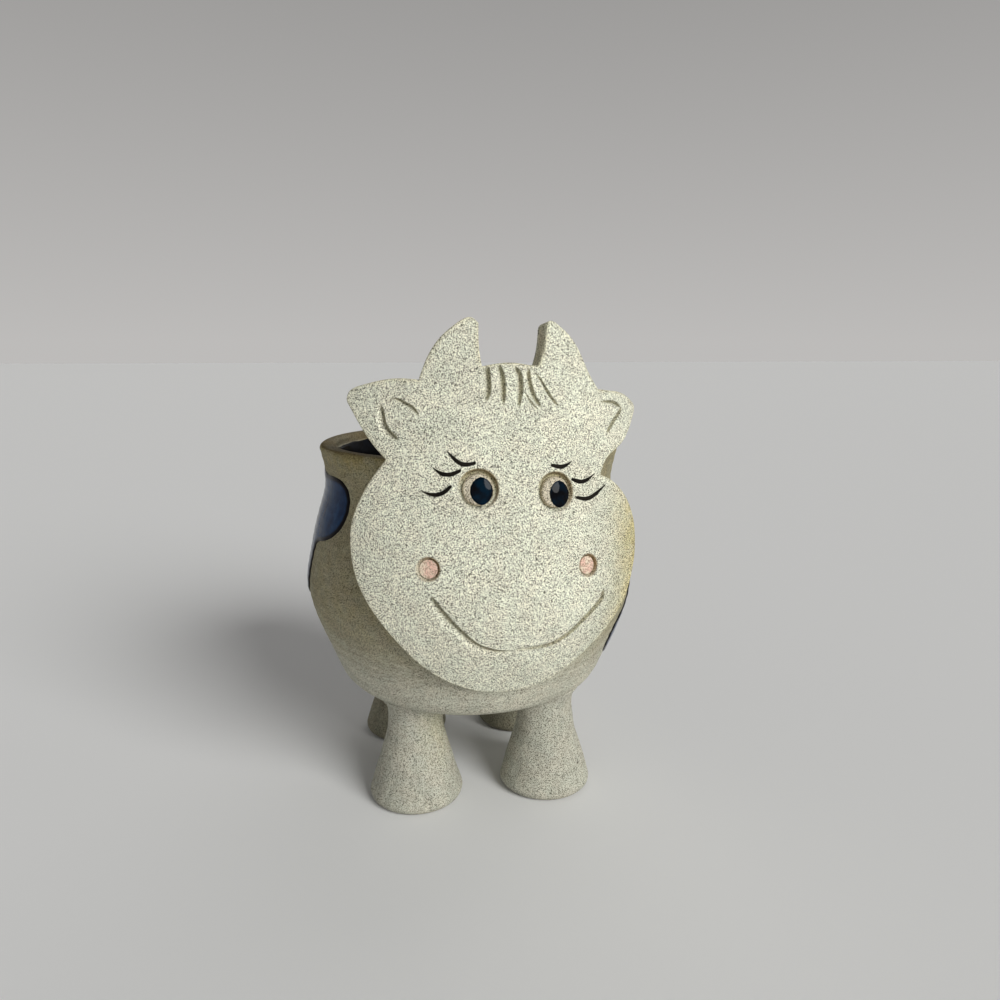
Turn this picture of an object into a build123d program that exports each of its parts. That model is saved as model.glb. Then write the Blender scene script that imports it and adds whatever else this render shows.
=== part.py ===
from build123d import *
import math
import os

os.makedirs("parts", exist_ok=True)

# A stoneware planter in the shape of a cow: a thrown pot on four hollow legs, with a flat head
# cut from a rolled slab and bent round its front. Lengths are in millimetres, angles in degrees.
# The face looks along -Y, +X is on the viewer's right and the feet stand on Z = 0.

# Pot, as radii and heights above the floor. The haunch, neck and rim are drawn in from the belly.
pot_base_height = 37.5
pot_base_radius = 41.0
haunch_height = 46.0
haunch_draw_in = 10.0
belly_height = 76.5
belly_radius = 62.0
neck_below_rim = 14.0
neck_draw_in = 8.0
rim_height = 129.0
rim_draw_in = 6.0
pot_wall = 5.5
pot_floor = 7.0
lip_round = 1.8
drain_radius = 5.0

# Points of the pot's wall between two named rings, as shares of the way up and outwards
base_to_haunch_shares = [(0.07, 0.34), (0.34, 0.7)]
haunch_to_belly_shares = [(0.28, 0.35), (0.61, 0.74)]
belly_to_neck_shares = [(0.32, 0.21), (0.70, 0.65)]
neck_to_rim_shares = [(0.45, 0.25)]
floor_to_wall_shares = [(0.07, 0.32), (0.32, 0.74)]

# Glaze
liner_thickness = 0.6
liner_below_lip = 2.5
patch_thickness = 0.7

# Legs
leg_spacing_x = 49.0
leg_spacing_y = 52.0
foot_radius = 17.0
foot_round = 2.8
ankle_radius = 9.9
ankle_height = 31.0
leg_top_radius = 11.0
leg_seat_depth = 8.0
flare_shares = [(0.18, 0.79), (0.39, 0.545), (0.61, 0.28), (0.82, 0.09)]
hollow_radius = 8.0
hollow_top_radius = 4.5
hollow_depth = 24.0

# Head slab: rolled flat, bent round an upright former that leans back, and curved under at the chin
slab_thickness = 7.0
bend_radius = 72.0
chin_bend_radius = 60.0
head_lean = 11.0
head_turn = 4.2
face_proud_of_belly = 4.6
chin_bend_above_belly = 21.5
face_half_width = 54.0
horn_rise = 76.0
chin_drop = 50.0

# The slab's pattern, laid out flat: shares of face_half_width across, and of horn_rise above or
# chin_drop below the line where the chin starts to curve under. It runs clockwise from the chin.
left_cheek_shares = [(0.0, -0.994), (-0.2, -0.97), (-0.39, -0.89), (-0.545, -0.776), (-0.675, -0.63),
                     (-0.79, -0.45), (-0.952, -0.14), (-1.014, 0.09), (-0.996, 0.2), (-0.937, 0.286),
                     (-0.852, 0.37), (-0.743, 0.453)]
left_ear_under_shares = [(-0.743, 0.453), (-0.79, 0.49), (-0.88, 0.575), (-0.96, 0.672), (-0.99, 0.708)]
left_ear_tip_shares = [(-0.99, 0.708), (-0.972, 0.742), (-0.91, 0.763)]
left_ear_top_shares = [(-0.91, 0.763), (-0.80, 0.774), (-0.65, 0.78), (-0.52, 0.768)]
left_horn_outer_shares = [(-0.52, 0.768), (-0.463, 0.859), (-0.378, 0.938), (-0.28, 0.991)]
left_horn_tip_shares = [(-0.28, 0.991), (-0.2, 1.009), (-0.16, 0.985)]
left_horn_inner_shares = [(-0.16, 0.985), (-0.163, 0.875), (-0.152, 0.81)]
crown_shares = [(-0.152, 0.81), (-0.065, 0.82), (0.04, 0.823), (0.13, 0.814), (0.19, 0.812)]
right_horn_inner_shares = [(0.19, 0.812), (0.228, 0.88), (0.256, 0.985)]
right_horn_tip_shares = [(0.256, 0.985), (0.283, 1.0), (0.32, 0.993)]
right_horn_outer_shares = [(0.32, 0.993), (0.42, 0.94), (0.5, 0.862), (0.56, 0.785), (0.63, 0.724)]
right_ear_top_shares = [(0.63, 0.724), (0.74, 0.722), (0.9, 0.716), (1.01, 0.692)]
right_ear_tip_shares = [(1.01, 0.692), (1.065, 0.666), (1.06, 0.64)]
right_ear_under_shares = [(1.06, 0.64), (0.955, 0.55), (0.87, 0.497), (0.78, 0.462), (0.68, 0.42),
                          (0.615, 0.353)]
right_cheek_shares = [(0.615, 0.353), (0.69, 0.338), (0.8, 0.295), (0.895, 0.235), (0.965, 0.15),
                      (0.975, 0.04), (0.926, -0.13), (0.868, -0.3), (0.79, -0.44), (0.67, -0.585),
                      (0.53, -0.735), (0.37, -0.885), (0.19, -0.97), (0.0, -0.994)]

# Eyes, nostrils and the strokes on the face, placed on the same pattern
eye_radius = 6.2
eye_disc_radius = 5.1
eye_socket_depth = 1.6
eye_shares = {"left": (-0.207, 0.313), "right": (0.262, 0.288)}
pupil_half_width = 3.4
pupil_half_height = 4.1
pupil_thickness = 0.6
pupil_offset_shares = {"left": (0.18, -0.1), "right": (0.23, -0.14)}
pupil_pinch = 1.25
nostril_radius = 3.7
nostril_depth = 1.3
nostril_glaze_thickness = 0.5
nostril_shares = {"left": (-0.517, 0.0), "right": (0.474, -0.046)}
groove_width = 1.9
groove_depth = 1.1
fringe_width = 1.9
fringe_depth = 1.5
lash_width = 1.4
lash_thickness = 0.3
stroke_end_share = 0.25

smile_shares = [(-0.545, -0.14), (-0.475, -0.26), (-0.378, -0.4), (-0.27, -0.497), (-0.14, -0.55),
                (0.0, -0.57), (0.17, -0.552), (0.33, -0.506), (0.463, -0.434), (0.58, -0.336),
                (0.617, -0.24)]
fringe_strokes_shares = [
    [(-0.112, 0.802), (-0.106, 0.735), (-0.125, 0.69), (-0.17, 0.652)],
    [(-0.05, 0.806), (-0.028, 0.774), (-0.022, 0.71), (-0.03, 0.649)],
    [(0.04, 0.803), (0.067, 0.765), (0.078, 0.708), (0.056, 0.638)],
    [(0.122, 0.803), (0.13, 0.755), (0.148, 0.7), (0.198, 0.633)],
    [(0.158, 0.797), (0.205, 0.745), (0.26, 0.69), (0.319, 0.642)],
]
ear_strokes_shares = [
    [(-0.763, 0.672), (-0.739, 0.634), (-0.727, 0.59), (-0.692, 0.558), (-0.646, 0.526)],
    [(-0.672, 0.702), (-0.611, 0.686), (-0.57, 0.663), (-0.543, 0.645), (-0.524, 0.625)],
    [(0.615, 0.67), (0.7, 0.676), (0.82, 0.672), (0.868, 0.652), (0.832, 0.613), (0.715, 0.549)],
]
lash_strokes_shares = {
    "left": [
        [(-0.376, 0.476), (-0.335, 0.44), (-0.285, 0.417), (-0.222, 0.42)],
        [(-0.46, 0.411), (-0.41, 0.384), (-0.36, 0.379), (-0.307, 0.392)],
        [(-0.532, 0.318), (-0.48, 0.303), (-0.424, 0.302), (-0.365, 0.33)],
    ],
    "right": [
        [(0.244, 0.399), (0.317, 0.393), (0.383, 0.414)],
        [(0.38, 0.337), (0.446, 0.326), (0.552, 0.357)],
        [(0.411, 0.26), (0.483, 0.253), (0.56, 0.272), (0.65, 0.31)],
    ],
}

# Patches of blue glaze on the pot: the bearing of each one's middle as a share of a full turn, from
# the face towards +X, its half width round the belly, its middle and its half height as shares of
# the wall's height, and its outline as shares of the half width and the half height
patch_bearing_shares = {
    "left_flank": -0.253, "right_flank": 0.256, "back_left": -0.406, "back_right": 0.397,
}
patch_half_width = {"left_flank": 36.8, "right_flank": 41.1, "back_left": 18.4, "back_right": 19.5}
patch_middle_shares = {
    "left_flank": 0.645, "right_flank": 0.366, "back_left": 0.29, "back_right": 0.727,
}
patch_half_height_shares = {
    "left_flank": 0.273, "right_flank": 0.24, "back_left": 0.142, "back_right": 0.164,
}
patch_outline_shares = {
    "left_flank": [(0.41, 0.9), (0.7, 0.91), (0.93, 0.81), (1.0, 0.62), (0.95, 0.28), (0.81, 0.11),
                   (0.56, -0.02), (0.35, -0.14), (0.3, -0.42), (0.27, -0.8), (-0.05, -1.0),
                   (-0.45, -0.82), (-0.62, -0.4), (-0.95, -0.1), (-1.0, 0.35), (-0.7, 0.75),
                   (-0.15, 0.95)],
    "right_flank": [(-0.63, 0.22), (-0.75, -0.05), (-0.97, -0.32), (-1.0, -0.7), (-0.6, -0.98),
                    (-0.05, -0.8), (0.35, -0.95), (0.85, -0.6), (1.0, 0.0), (0.75, 0.55),
                    (0.3, 0.7), (0.0, 1.0), (-0.4, 0.85), (-0.55, 0.5)],
    "back_left": [(-0.9, 0.3), (-1.0, -0.35), (-0.4, -1.0), (0.45, -0.85), (1.0, -0.1), (0.7, 0.75),
                  (-0.1, 1.0)],
    "back_right": [(-0.95, 0.1), (-0.8, -0.75), (0.0, -1.0), (0.85, -0.6), (1.0, 0.3), (0.4, 0.65),
                   (0.1, 1.0), (-0.6, 0.85)],
}

# Tail: a rolled strip of clay pressed on the back of the pot, ending in a combed tuft. Its ends are
# given as shares of the wall's height, and its path as shares of tuft_half_width sideways and of the
# tail's length upwards, with its half width as a share of tuft_half_width.
tail_bearing = 178.0
tail_thickness = 4.0
tail_top_share = 0.77
tail_foot_share = 0.202
tuft_half_width = 7.5
tail_path_shares = [(0.0, 1.0, 0.3), (0.05, 0.95, 0.48), (-0.25, 0.82, 0.46), (-0.6, 0.66, 0.4),
                    (-0.5, 0.5, 0.38), (0.0, 0.36, 0.42), (0.3, 0.26, 0.78), (0.42, 0.17, 1.0),
                    (0.42, 0.09, 0.8), (0.38, 0.0, 0.2)]
tuft_strokes_shares = [
    [(-0.02, 0.29), (-0.12, 0.2), (0.0, 0.09)],
    [(0.22, 0.29), (0.38, 0.19), (0.38, 0.05)],
    [(0.42, 0.29), (0.8, 0.19), (0.76, 0.09)],
]
tuft_stroke_width = 1.6
tuft_stroke_depth = 1.3

cut_overrun = 6.0
full_turn = 360.0
half_turn_points = 9
floor_height = pot_base_height + pot_floor
wall_rise = rim_height - pot_base_height


def between(lower, upper, shares):
    """Points on the way from one ring to the next, given as shares of height and radius."""
    (radius_0, height_0), (radius_1, height_1) = lower, upper
    return [
        (radius_0 + out * (radius_1 - radius_0), height_0 + up * (height_1 - height_0))
        for up, out in shares
    ]


def wall_points():
    """The outside of the pot's wall from its base to its rim, as (radius, height)."""
    rings = [
        (pot_base_radius, pot_base_height),
        (belly_radius - haunch_draw_in, haunch_height),
        (belly_radius, belly_height),
        (belly_radius - neck_draw_in, rim_height - neck_below_rim),
        (belly_radius - rim_draw_in, rim_height - lip_round),
    ]
    ways = [base_to_haunch_shares, haunch_to_belly_shares, belly_to_neck_shares, neck_to_rim_shares]
    points = [rings[0]]
    for lower, upper, shares in zip(rings, rings[1:], ways):
        points += [*between(lower, upper, shares), upper]
    return points


def turned(edges):
    """A solid turned about the Z axis from a closed profile, drawn as radius and height."""
    profile = Rot(90, 0, 0) * make_face(Wire(edges))
    return revolve(profile, Axis.Z)


def moved_out(points, distance):
    """Points of a profile moved away from the axis."""
    return [(radius + distance, height) for radius, height in points]


def outer_wall(grown=0.0):
    """The outside of the wall from base to rim, moved out by a thickness of glaze or clay."""
    return Spline(*moved_out(wall_points(), grown))


def inner_wall(shrunk=0.0):
    """The inside of the pot from the floor's edge to the mouth, drawn in by a thickness of glaze."""
    inset = pot_wall + shrunk
    floor_edge = (pot_base_radius - inset, floor_height + shrunk)
    upper = [point for point in moved_out(wall_points(), -inset) if point[1] > floor_edge[1] + pot_wall]
    return Spline(floor_edge, *between(floor_edge, upper[0], floor_to_wall_shares), *upper)


def outer_lip(wall):
    """The round edge from the top of the outer wall to the top of the lip."""
    return RadiusArc(wall @ 1, wall @ 1 + Vector(-lip_round, lip_round), -lip_round)


def make_pot():
    """The thrown pot, with a hole through the middle of its floor."""
    outside = outer_wall()
    inside = inner_wall()
    lip = outer_lip(outside)
    mouth = RadiusArc(inside @ 1 + Vector(lip_round, lip_round), inside @ 1, -lip_round)
    drain_top = (drain_radius, floor_height)
    drain_bottom = (drain_radius, pot_base_height)
    return turned([
        outside,
        lip,
        Line(lip @ 1, mouth @ 0),
        mouth,
        inside,
        Line(inside @ 0, drain_top),
        Line(drain_top, drain_bottom),
        Line(drain_bottom, outside @ 0),
    ])


def pot_filled():
    """The pot as if it were solid, which fits the back of what is pressed on it."""
    outside = outer_wall()
    lip = outer_lip(outside)
    top_centre = (0, rim_height)
    base_centre = (0, pot_base_height)
    return turned([
        outside,
        lip,
        Line(lip @ 1, top_centre),
        Line(top_centre, base_centre),
        Line(base_centre, outside @ 0),
    ])


def wall_layer(thickness):
    """A layer all round the outside of the pot's wall."""
    below = outer_wall()
    above = outer_wall(thickness)
    return turned([below, Line(below @ 1, above @ 1), above, Line(above @ 0, below @ 0)])


def make_liner():
    """The dark glaze that coats the inside, from the floor up to a line below the lip."""
    below = inner_wall()
    above = inner_wall(liner_thickness)
    floor_below = (drain_radius, floor_height)
    floor_above = (drain_radius, floor_height + liner_thickness)
    liner = turned([
        below,
        Line(below @ 1, above @ 1),
        above,
        Line(above @ 0, floor_above),
        Line(floor_above, floor_below),
        Line(floor_below, below @ 0),
    ])
    line_height = rim_height - liner_below_lip
    return liner - Pos(0, 0, line_height + rim_height / 2) * Cylinder(belly_radius, rim_height)


def make_leg(side_x, side_y):
    """A leg like a small trumpet, hollow underneath, seated on the pot's curved base."""
    rise = ankle_height - foot_round
    spread = foot_radius - ankle_radius
    flare = [(ankle_radius + out * spread, foot_round + up * rise) for up, out in flare_shares]
    top_height = pot_base_height + leg_seat_depth
    points = [(foot_radius, foot_round), *flare, (ankle_radius, ankle_height), (leg_top_radius, top_height)]
    side = Spline(*points)
    sole = (foot_radius - foot_round, 0)
    top_centre = (0, top_height)
    roof_centre = (0, hollow_depth)
    roof_edge = (hollow_top_radius, hollow_depth)
    mouth_edge = (hollow_radius, 0)
    leg = turned([
        RadiusArc(sole, side @ 0, -foot_round),
        side,
        Line(side @ 1, top_centre),
        Line(top_centre, roof_centre),
        Line(roof_centre, roof_edge),
        Line(roof_edge, mouth_edge),
        Line(mouth_edge, sole),
    ])
    place = Pos(side_x * leg_spacing_x / 2, side_y * leg_spacing_y / 2, 0)
    return place * leg - pot_filled()


def radial_block(outline, near, far):
    """A block whose side walls point at the Z axis, facing -Y between two distances from it.

    The outline is a list of stretches, and neighbouring stretches meet in a corner. Each is a list
    of points (angle in radians, height). A single stretch is closed on itself without a corner.
    """
    closed = len(outline) == 1
    sections = []
    for distance in (near, far):
        edges = []
        for stretch in outline:
            points = [Vector(distance * math.tan(angle), -distance, height) for angle, height in stretch]
            edges.append(Spline(*points, periodic=closed) if len(points) > 2 else Line(*points))
        sections.append(make_face(Wire(edges)))
    return loft(sections, ruled=True)


def head_shell(raised, sunk):
    """A layer of the bent head, from raised above the face's surface to sunk below it."""
    centre_radius = bend_radius - chin_bend_radius
    top = horn_rise + cut_overrun
    end = (chin_drop + cut_overrun) / chin_bend_radius

    def bend(radius):
        angles = (0, end / 2, end)
        arc = [(centre_radius + radius * math.cos(a), -radius * math.sin(a)) for a in angles]
        return ThreePointArc(*arc)

    outer = bend(chin_bend_radius + raised)
    inner = bend(chin_bend_radius - sunk)
    outer_top = (bend_radius + raised, top)
    inner_top = (bend_radius - sunk, top)
    return turned([
        outer,
        Line(outer @ 1, inner @ 1),
        inner,
        Line(inner @ 0, inner_top),
        Line(inner_top, outer_top),
        Line(outer_top, outer @ 0),
    ])


def face_point(shares):
    """A point of the flat pattern in millimetres, from its shares."""
    across, along = shares
    return (across * face_half_width, along * (horn_rise if along > 0 else chin_drop))


def on_former(point):
    """A point of the flat pattern as its angle and height on the bent slab."""
    across, along = point
    if along < 0:
        along = chin_bend_radius * math.sin(along / chin_bend_radius)
    return (across / bend_radius, along)


def face_block(outline):
    """The block over an outline on the face, given as stretches of points on the flat pattern."""
    near = (bend_radius - slab_thickness) * math.cos(face_half_width / bend_radius) - cut_overrun
    stretches = [[on_former(point) for point in stretch] for stretch in outline]
    return radial_block(stretches, near, bend_radius + 2 * cut_overrun)


def place_head(piece):
    """Lean a piece of the head back, set it at the pot's front and turn it to its bearing."""
    lean = math.radians(head_lean)
    axis_y = bend_radius * math.cos(lean) - belly_radius - face_proud_of_belly
    axis_z = belly_height + chin_bend_above_belly - bend_radius * math.sin(lean)
    return Rot(0, 0, head_turn) * Pos(0, axis_y, axis_z) * Rot(-head_lean, 0, 0) * piece


def oval(centre, half_width, half_height, pinch=1.0):
    """A closed oval on the flat pattern. A pinch above 1 draws it in towards a lozenge."""
    x, y = centre
    points = []
    for i in range(2 * half_turn_points):
        turn = math.pi * i / half_turn_points
        across = math.copysign(abs(math.cos(turn)) ** pinch, math.cos(turn))
        along = math.copysign(abs(math.sin(turn)) ** pinch, math.sin(turn))
        points.append((x + across * half_width, y + along * half_height))
    return [points]


def ribbon(path):
    """The outline of a ribbon along points (across, along, half width), as four stretches."""
    left, right = [], []
    last = len(path) - 1
    for i, (x, y, half) in enumerate(path):
        before, after = path[max(i - 1, 0)], path[min(i + 1, last)]
        run_x, run_y = after[0] - before[0], after[1] - before[1]
        run = math.hypot(run_x, run_y)
        left.append((x - run_y / run * half, y + run_x / run * half))
        right.append((x + run_y / run * half, y - run_x / run * half))
    right.reverse()
    return [left, [left[-1], right[0]], right, [right[-1], left[0]]]


def stroke(points, width):
    """The outline of a stroke that is full in its middle and narrow at its ends."""
    ends = (0, len(points) - 1)
    half = width / 2
    return ribbon([
        (x, y, half * stroke_end_share if i in ends else half) for i, (x, y) in enumerate(points)
    ])


def face_strokes(strokes_shares, width):
    """One block for each stroke drawn on the face."""
    return [face_block(stroke([face_point(s) for s in shares], width)) for shares in strokes_shares]


def face_ovals(places_shares, radius):
    """One round block for each place on the face."""
    return [face_block(oval(face_point(shares), radius, radius)) for shares in places_shares]


def head_outline():
    """The whole outline of the head on the flat pattern, as stretches that meet in corners."""
    stretches = [
        left_cheek_shares, left_ear_under_shares, left_ear_tip_shares, left_ear_top_shares,
        left_horn_outer_shares, left_horn_tip_shares, left_horn_inner_shares, crown_shares,
        right_horn_inner_shares, right_horn_tip_shares, right_horn_outer_shares,
        right_ear_top_shares, right_ear_tip_shares, right_ear_under_shares, right_cheek_shares,
    ]
    return [[face_point(shares) for shares in stretch] for stretch in stretches]


def make_head():
    """The slab with its sockets, nostrils and grooves cut, and its back fitted to the pot."""
    head = face_block(head_outline()) & head_shell(0, slab_thickness)
    cuts = [
        (face_ovals(eye_shares.values(), eye_radius), eye_socket_depth),
        (face_ovals(nostril_shares.values(), nostril_radius), nostril_depth),
        (face_strokes([smile_shares, *ear_strokes_shares], groove_width), groove_depth),
        (face_strokes(fringe_strokes_shares, fringe_width), fringe_depth),
    ]
    for blocks, depth in cuts:
        layer = head_shell(cut_overrun, depth)
        for block in blocks:
            head -= block & layer
    return place_head(head) - pot_filled()


def make_eye_disc(side):
    """The clay button in the eye's socket. The gap round it is the ring of the eye."""
    block = face_block(oval(face_point(eye_shares[side]), eye_disc_radius, eye_disc_radius))
    return place_head(block & head_shell(0, eye_socket_depth))


def make_pupil(side):
    """A bead of black glaze, a rounded lozenge, on the eye's button."""
    x, y = face_point(eye_shares[side])
    offset_x, offset_y = pupil_offset_shares[side]
    centre = (x + offset_x * eye_disc_radius, y + offset_y * eye_disc_radius)
    block = face_block(oval(centre, pupil_half_width, pupil_half_height, pupil_pinch))
    return place_head(block & head_shell(pupil_thickness, 0))


def make_nostril_glaze(side):
    """The pink glaze on the bottom of the nostril."""
    block = face_block(oval(face_point(nostril_shares[side]), nostril_radius, nostril_radius))
    return place_head(block & head_shell(nostril_glaze_thickness - nostril_depth, nostril_depth))


def make_lashes(side):
    """Three brush strokes of black glaze beside an eye."""
    layer = head_shell(lash_thickness, 0)
    blocks = face_strokes(lash_strokes_shares[side], lash_width)
    return Compound(children=[place_head(block & layer) for block in blocks])


def on_pot(block, bearing, thickness):
    """The layer of a given thickness that lies on the pot's wall under a block."""
    return (Rot(0, 0, bearing) * block) & wall_layer(thickness)


def make_patch(name):
    """A patch of thick blue glaze on the pot's wall."""
    half_angle = patch_half_width[name] / belly_radius
    middle = pot_base_height + patch_middle_shares[name] * wall_rise
    half_height = patch_half_height_shares[name] * wall_rise
    outline = [[
        (across * half_angle, middle + up * half_height) for across, up in patch_outline_shares[name]
    ]]
    block = radial_block(outline, pot_base_radius - cut_overrun, belly_radius + cut_overrun)
    return on_pot(block, patch_bearing_shares[name] * full_turn, patch_thickness)


def tail_block(outline):
    """The block over an outline on the back of the pot, in millimetres round it and above floor."""
    stretches = [[(across / belly_radius, height) for across, height in stretch] for stretch in outline]
    return radial_block(stretches, pot_base_radius - cut_overrun, belly_radius + 2 * cut_overrun)


def make_tail():
    """A strip of clay pressed on the back of the pot, with a tuft combed by three grooves."""
    foot = pot_base_height + tail_foot_share * wall_rise
    length = (tail_top_share - tail_foot_share) * wall_rise

    def place(across, up):
        return (across * tuft_half_width, foot + up * length)

    path = [(*place(across, up), half * tuft_half_width) for across, up, half in tail_path_shares]
    tail = on_pot(tail_block(ribbon(path)), tail_bearing, tail_thickness)
    for shares in tuft_strokes_shares:
        groove = tail_block(stroke([place(*point) for point in shares], tuft_stroke_width))
        uncut = wall_layer(tail_thickness - tuft_stroke_depth) + pot_filled()
        tail -= (Rot(0, 0, tail_bearing) * groove) - uncut
    return tail


pieces = {
    "pot_body": make_pot(),
    "glaze_liner": make_liner(),
    "head_slab": make_head(),
    "tail": make_tail(),
}
for side_name, side_x in (("left", -1), ("right", 1)):
    pieces["leg_front_" + side_name] = make_leg(side_x, -1)
    pieces["leg_rear_" + side_name] = make_leg(side_x, 1)
    pieces["eye_disc_" + side_name] = make_eye_disc(side_name)
    pieces["pupil_" + side_name] = make_pupil(side_name)
    pieces["nostril_glaze_" + side_name] = make_nostril_glaze(side_name)
    pieces["eyelashes_" + side_name] = make_lashes(side_name)
for patch_name in patch_outline_shares:
    pieces["glaze_patch_" + patch_name] = make_patch(patch_name)

for node_name, piece in pieces.items():
    export_step(piece, f"parts/{node_name}.step")
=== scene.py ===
import math

import bpy
import numpy as np
from mathutils import Euler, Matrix, Vector, kdtree, noise
from mathutils.geometry import delaunay_2d_cdt


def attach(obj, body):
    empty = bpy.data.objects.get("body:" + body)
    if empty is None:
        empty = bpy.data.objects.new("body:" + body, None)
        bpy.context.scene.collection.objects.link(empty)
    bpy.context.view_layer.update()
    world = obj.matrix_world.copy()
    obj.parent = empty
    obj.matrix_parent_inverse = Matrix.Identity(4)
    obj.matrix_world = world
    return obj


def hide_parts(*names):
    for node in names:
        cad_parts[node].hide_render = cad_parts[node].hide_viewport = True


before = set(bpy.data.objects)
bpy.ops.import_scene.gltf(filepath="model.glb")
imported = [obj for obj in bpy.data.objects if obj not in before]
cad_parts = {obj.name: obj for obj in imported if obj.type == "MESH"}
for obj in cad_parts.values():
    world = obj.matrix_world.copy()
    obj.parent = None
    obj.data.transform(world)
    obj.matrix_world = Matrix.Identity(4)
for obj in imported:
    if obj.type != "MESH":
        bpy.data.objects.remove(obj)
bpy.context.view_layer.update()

# A stoneware planter in the shape of a cow. Shapes are worked out in millimetres and turned into
# metres when their meshes are made. The face looks along -Y and the feet stand on Z = 0.
MM = 0.001
sides = ("left", "right")

# Pot, as radii and heights above the floor. The haunch, neck and rim are drawn in from the belly.
pot_base_height = 37.5
pot_base_radius = 41.0
haunch_height = 46.0
haunch_draw_in = 10.0
belly_height = 76.5
belly_radius = 62.0
neck_below_rim = 14.0
neck_draw_in = 8.0
rim_height = 129.0
rim_draw_in = 6.0
pot_wall = 5.5
pot_floor = 7.0
lip_round = 1.8
drain_radius = 5.0
base_to_haunch_shares = [(0.07, 0.34), (0.34, 0.7)]
haunch_to_belly_shares = [(0.28, 0.35), (0.61, 0.74)]
belly_to_neck_shares = [(0.32, 0.21), (0.70, 0.65)]
neck_to_rim_shares = [(0.45, 0.25)]
floor_to_wall_shares = [(0.07, 0.32), (0.32, 0.74)]
pot_step = 0.9
pot_segments = 336
throwing_pitch = 3.4
throwing_depth = 0.06
pot_swell_size = 15.0
pot_swell_depth = 0.16

# Colour on the pot. The uneven ones are how strong they are, from 0 to 1, how wide, the size of their
# patches, and how much of the place the patches cover.
lip_toast = (0.5, 1.1, 12.0, 0.9)
rim_toast = (0.6, 14.0, 18.0, 0.5)
lip_line = (0.95, 0.6, 9.0, 0.8)
# Painted shade: upper_shade darkens the outer wall from the haunch up, and lip_shade the lip and the band
# inside it; upper_toast and the lip's brown are the fired clay's own colour
upper_toast = 0.5
upper_shade = 0.52
lip_shade = 0.7
lip_brown = 0.6
lip_brown_width = 3.4
lip_brown_fade = 0.8
lip_brown_unevenness = 0.25

# Glaze
liner_thickness = 0.6
liner_below_lip = 2.5
liner_line_waver = 0.5
liner_line_waver_size = 9.0
liner_line_waver_depth = 12.0
glaze_bite = 0.3
patch_thickness = 0.68
patch_edge_width = 2.2
patch_thin_width = 1.5
patch_swell_size = 7.0
patch_swell_share = 0.14
patch_line_step = 0.8
patch_lattice = 1.3

# Legs
leg_spacing_x = 49.0
leg_spacing_y = 52.0
foot_radius = 17.0
foot_round = 2.8
ankle_radius = 9.9
ankle_height = 31.0
leg_top_radius = 11.0
leg_top_height = 39.6
flare_shares = [(0.18, 0.79), (0.39, 0.545), (0.61, 0.28), (0.82, 0.09)]
hollow_radius = 8.0
hollow_top_radius = 4.5
hollow_depth = 24.0
hollow_edge = 0.4
leg_step = 0.6
leg_segments = 144
leg_join_width = 1.3
leg_join_reach = 1.1
# Painted shade: the rear legs are darkened as they stand in shadow
leg_shade = {"front": 0.0, "rear": 0.68}
sole_brown = 0.5
sole_brown_height = 0.7

# Unevenness and finger strokes on the legs: their size and depth, how far apart in the noise the legs
# take theirs, and how many times as fast they change across, along and up
leg_swell = (8.0, 0.3, 40, (1, 1, 1))
leg_stroke = (1.6, 0.07, 70, (1, 1, 0.15))

# Toasted clay on the legs: its least strength and what some have more of on one side, with that side's
# bearing, how far round it starts as a cosine, and the height where it starts and how far up it is full
leg_least_toast = 0.1
leg_toast = {("left", "front"): 0.3}
leg_toast_bearing = math.radians(70)
leg_toast_edge = 0.1
leg_toast_heights = (8.0, 20.0)

# Head slab
slab_thickness = 7.0
bend_radius = 72.0
chin_bend_radius = 60.0
head_lean = math.radians(11.0)
head_turn = math.radians(4.2)
face_proud_of_belly = 4.6
chin_bend_above_belly = 21.5
face_half_width = 54.0
horn_rise = 76.0
chin_drop = 50.0
front_round = 0.9
back_round = 1.0
press_in = 0.8
head_line_step = 0.55
head_lattice = 1.0
head_swell_size = 11.0
head_swell_depth = 0.14
head_swell_margin = 3.0
head_edge_toast = 0.3
head_edge_toast_width = 0.9
head_wall_rows = 3
head_wall_toast = 0.3
head_wall_brown = 0.2
head_back_toast = 0.1

# The right cheek, toasted and darker towards its edge: how strong each colour is, where across the face it
# starts and how far on it is full, and the height below which it starts and how far down it is full
cheek_toast = (0.85, (32.0, 20.0), (34.0, 26.0))
cheek_shade = (0.22, (20.0, 22.0), (34.0, 26.0))

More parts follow.
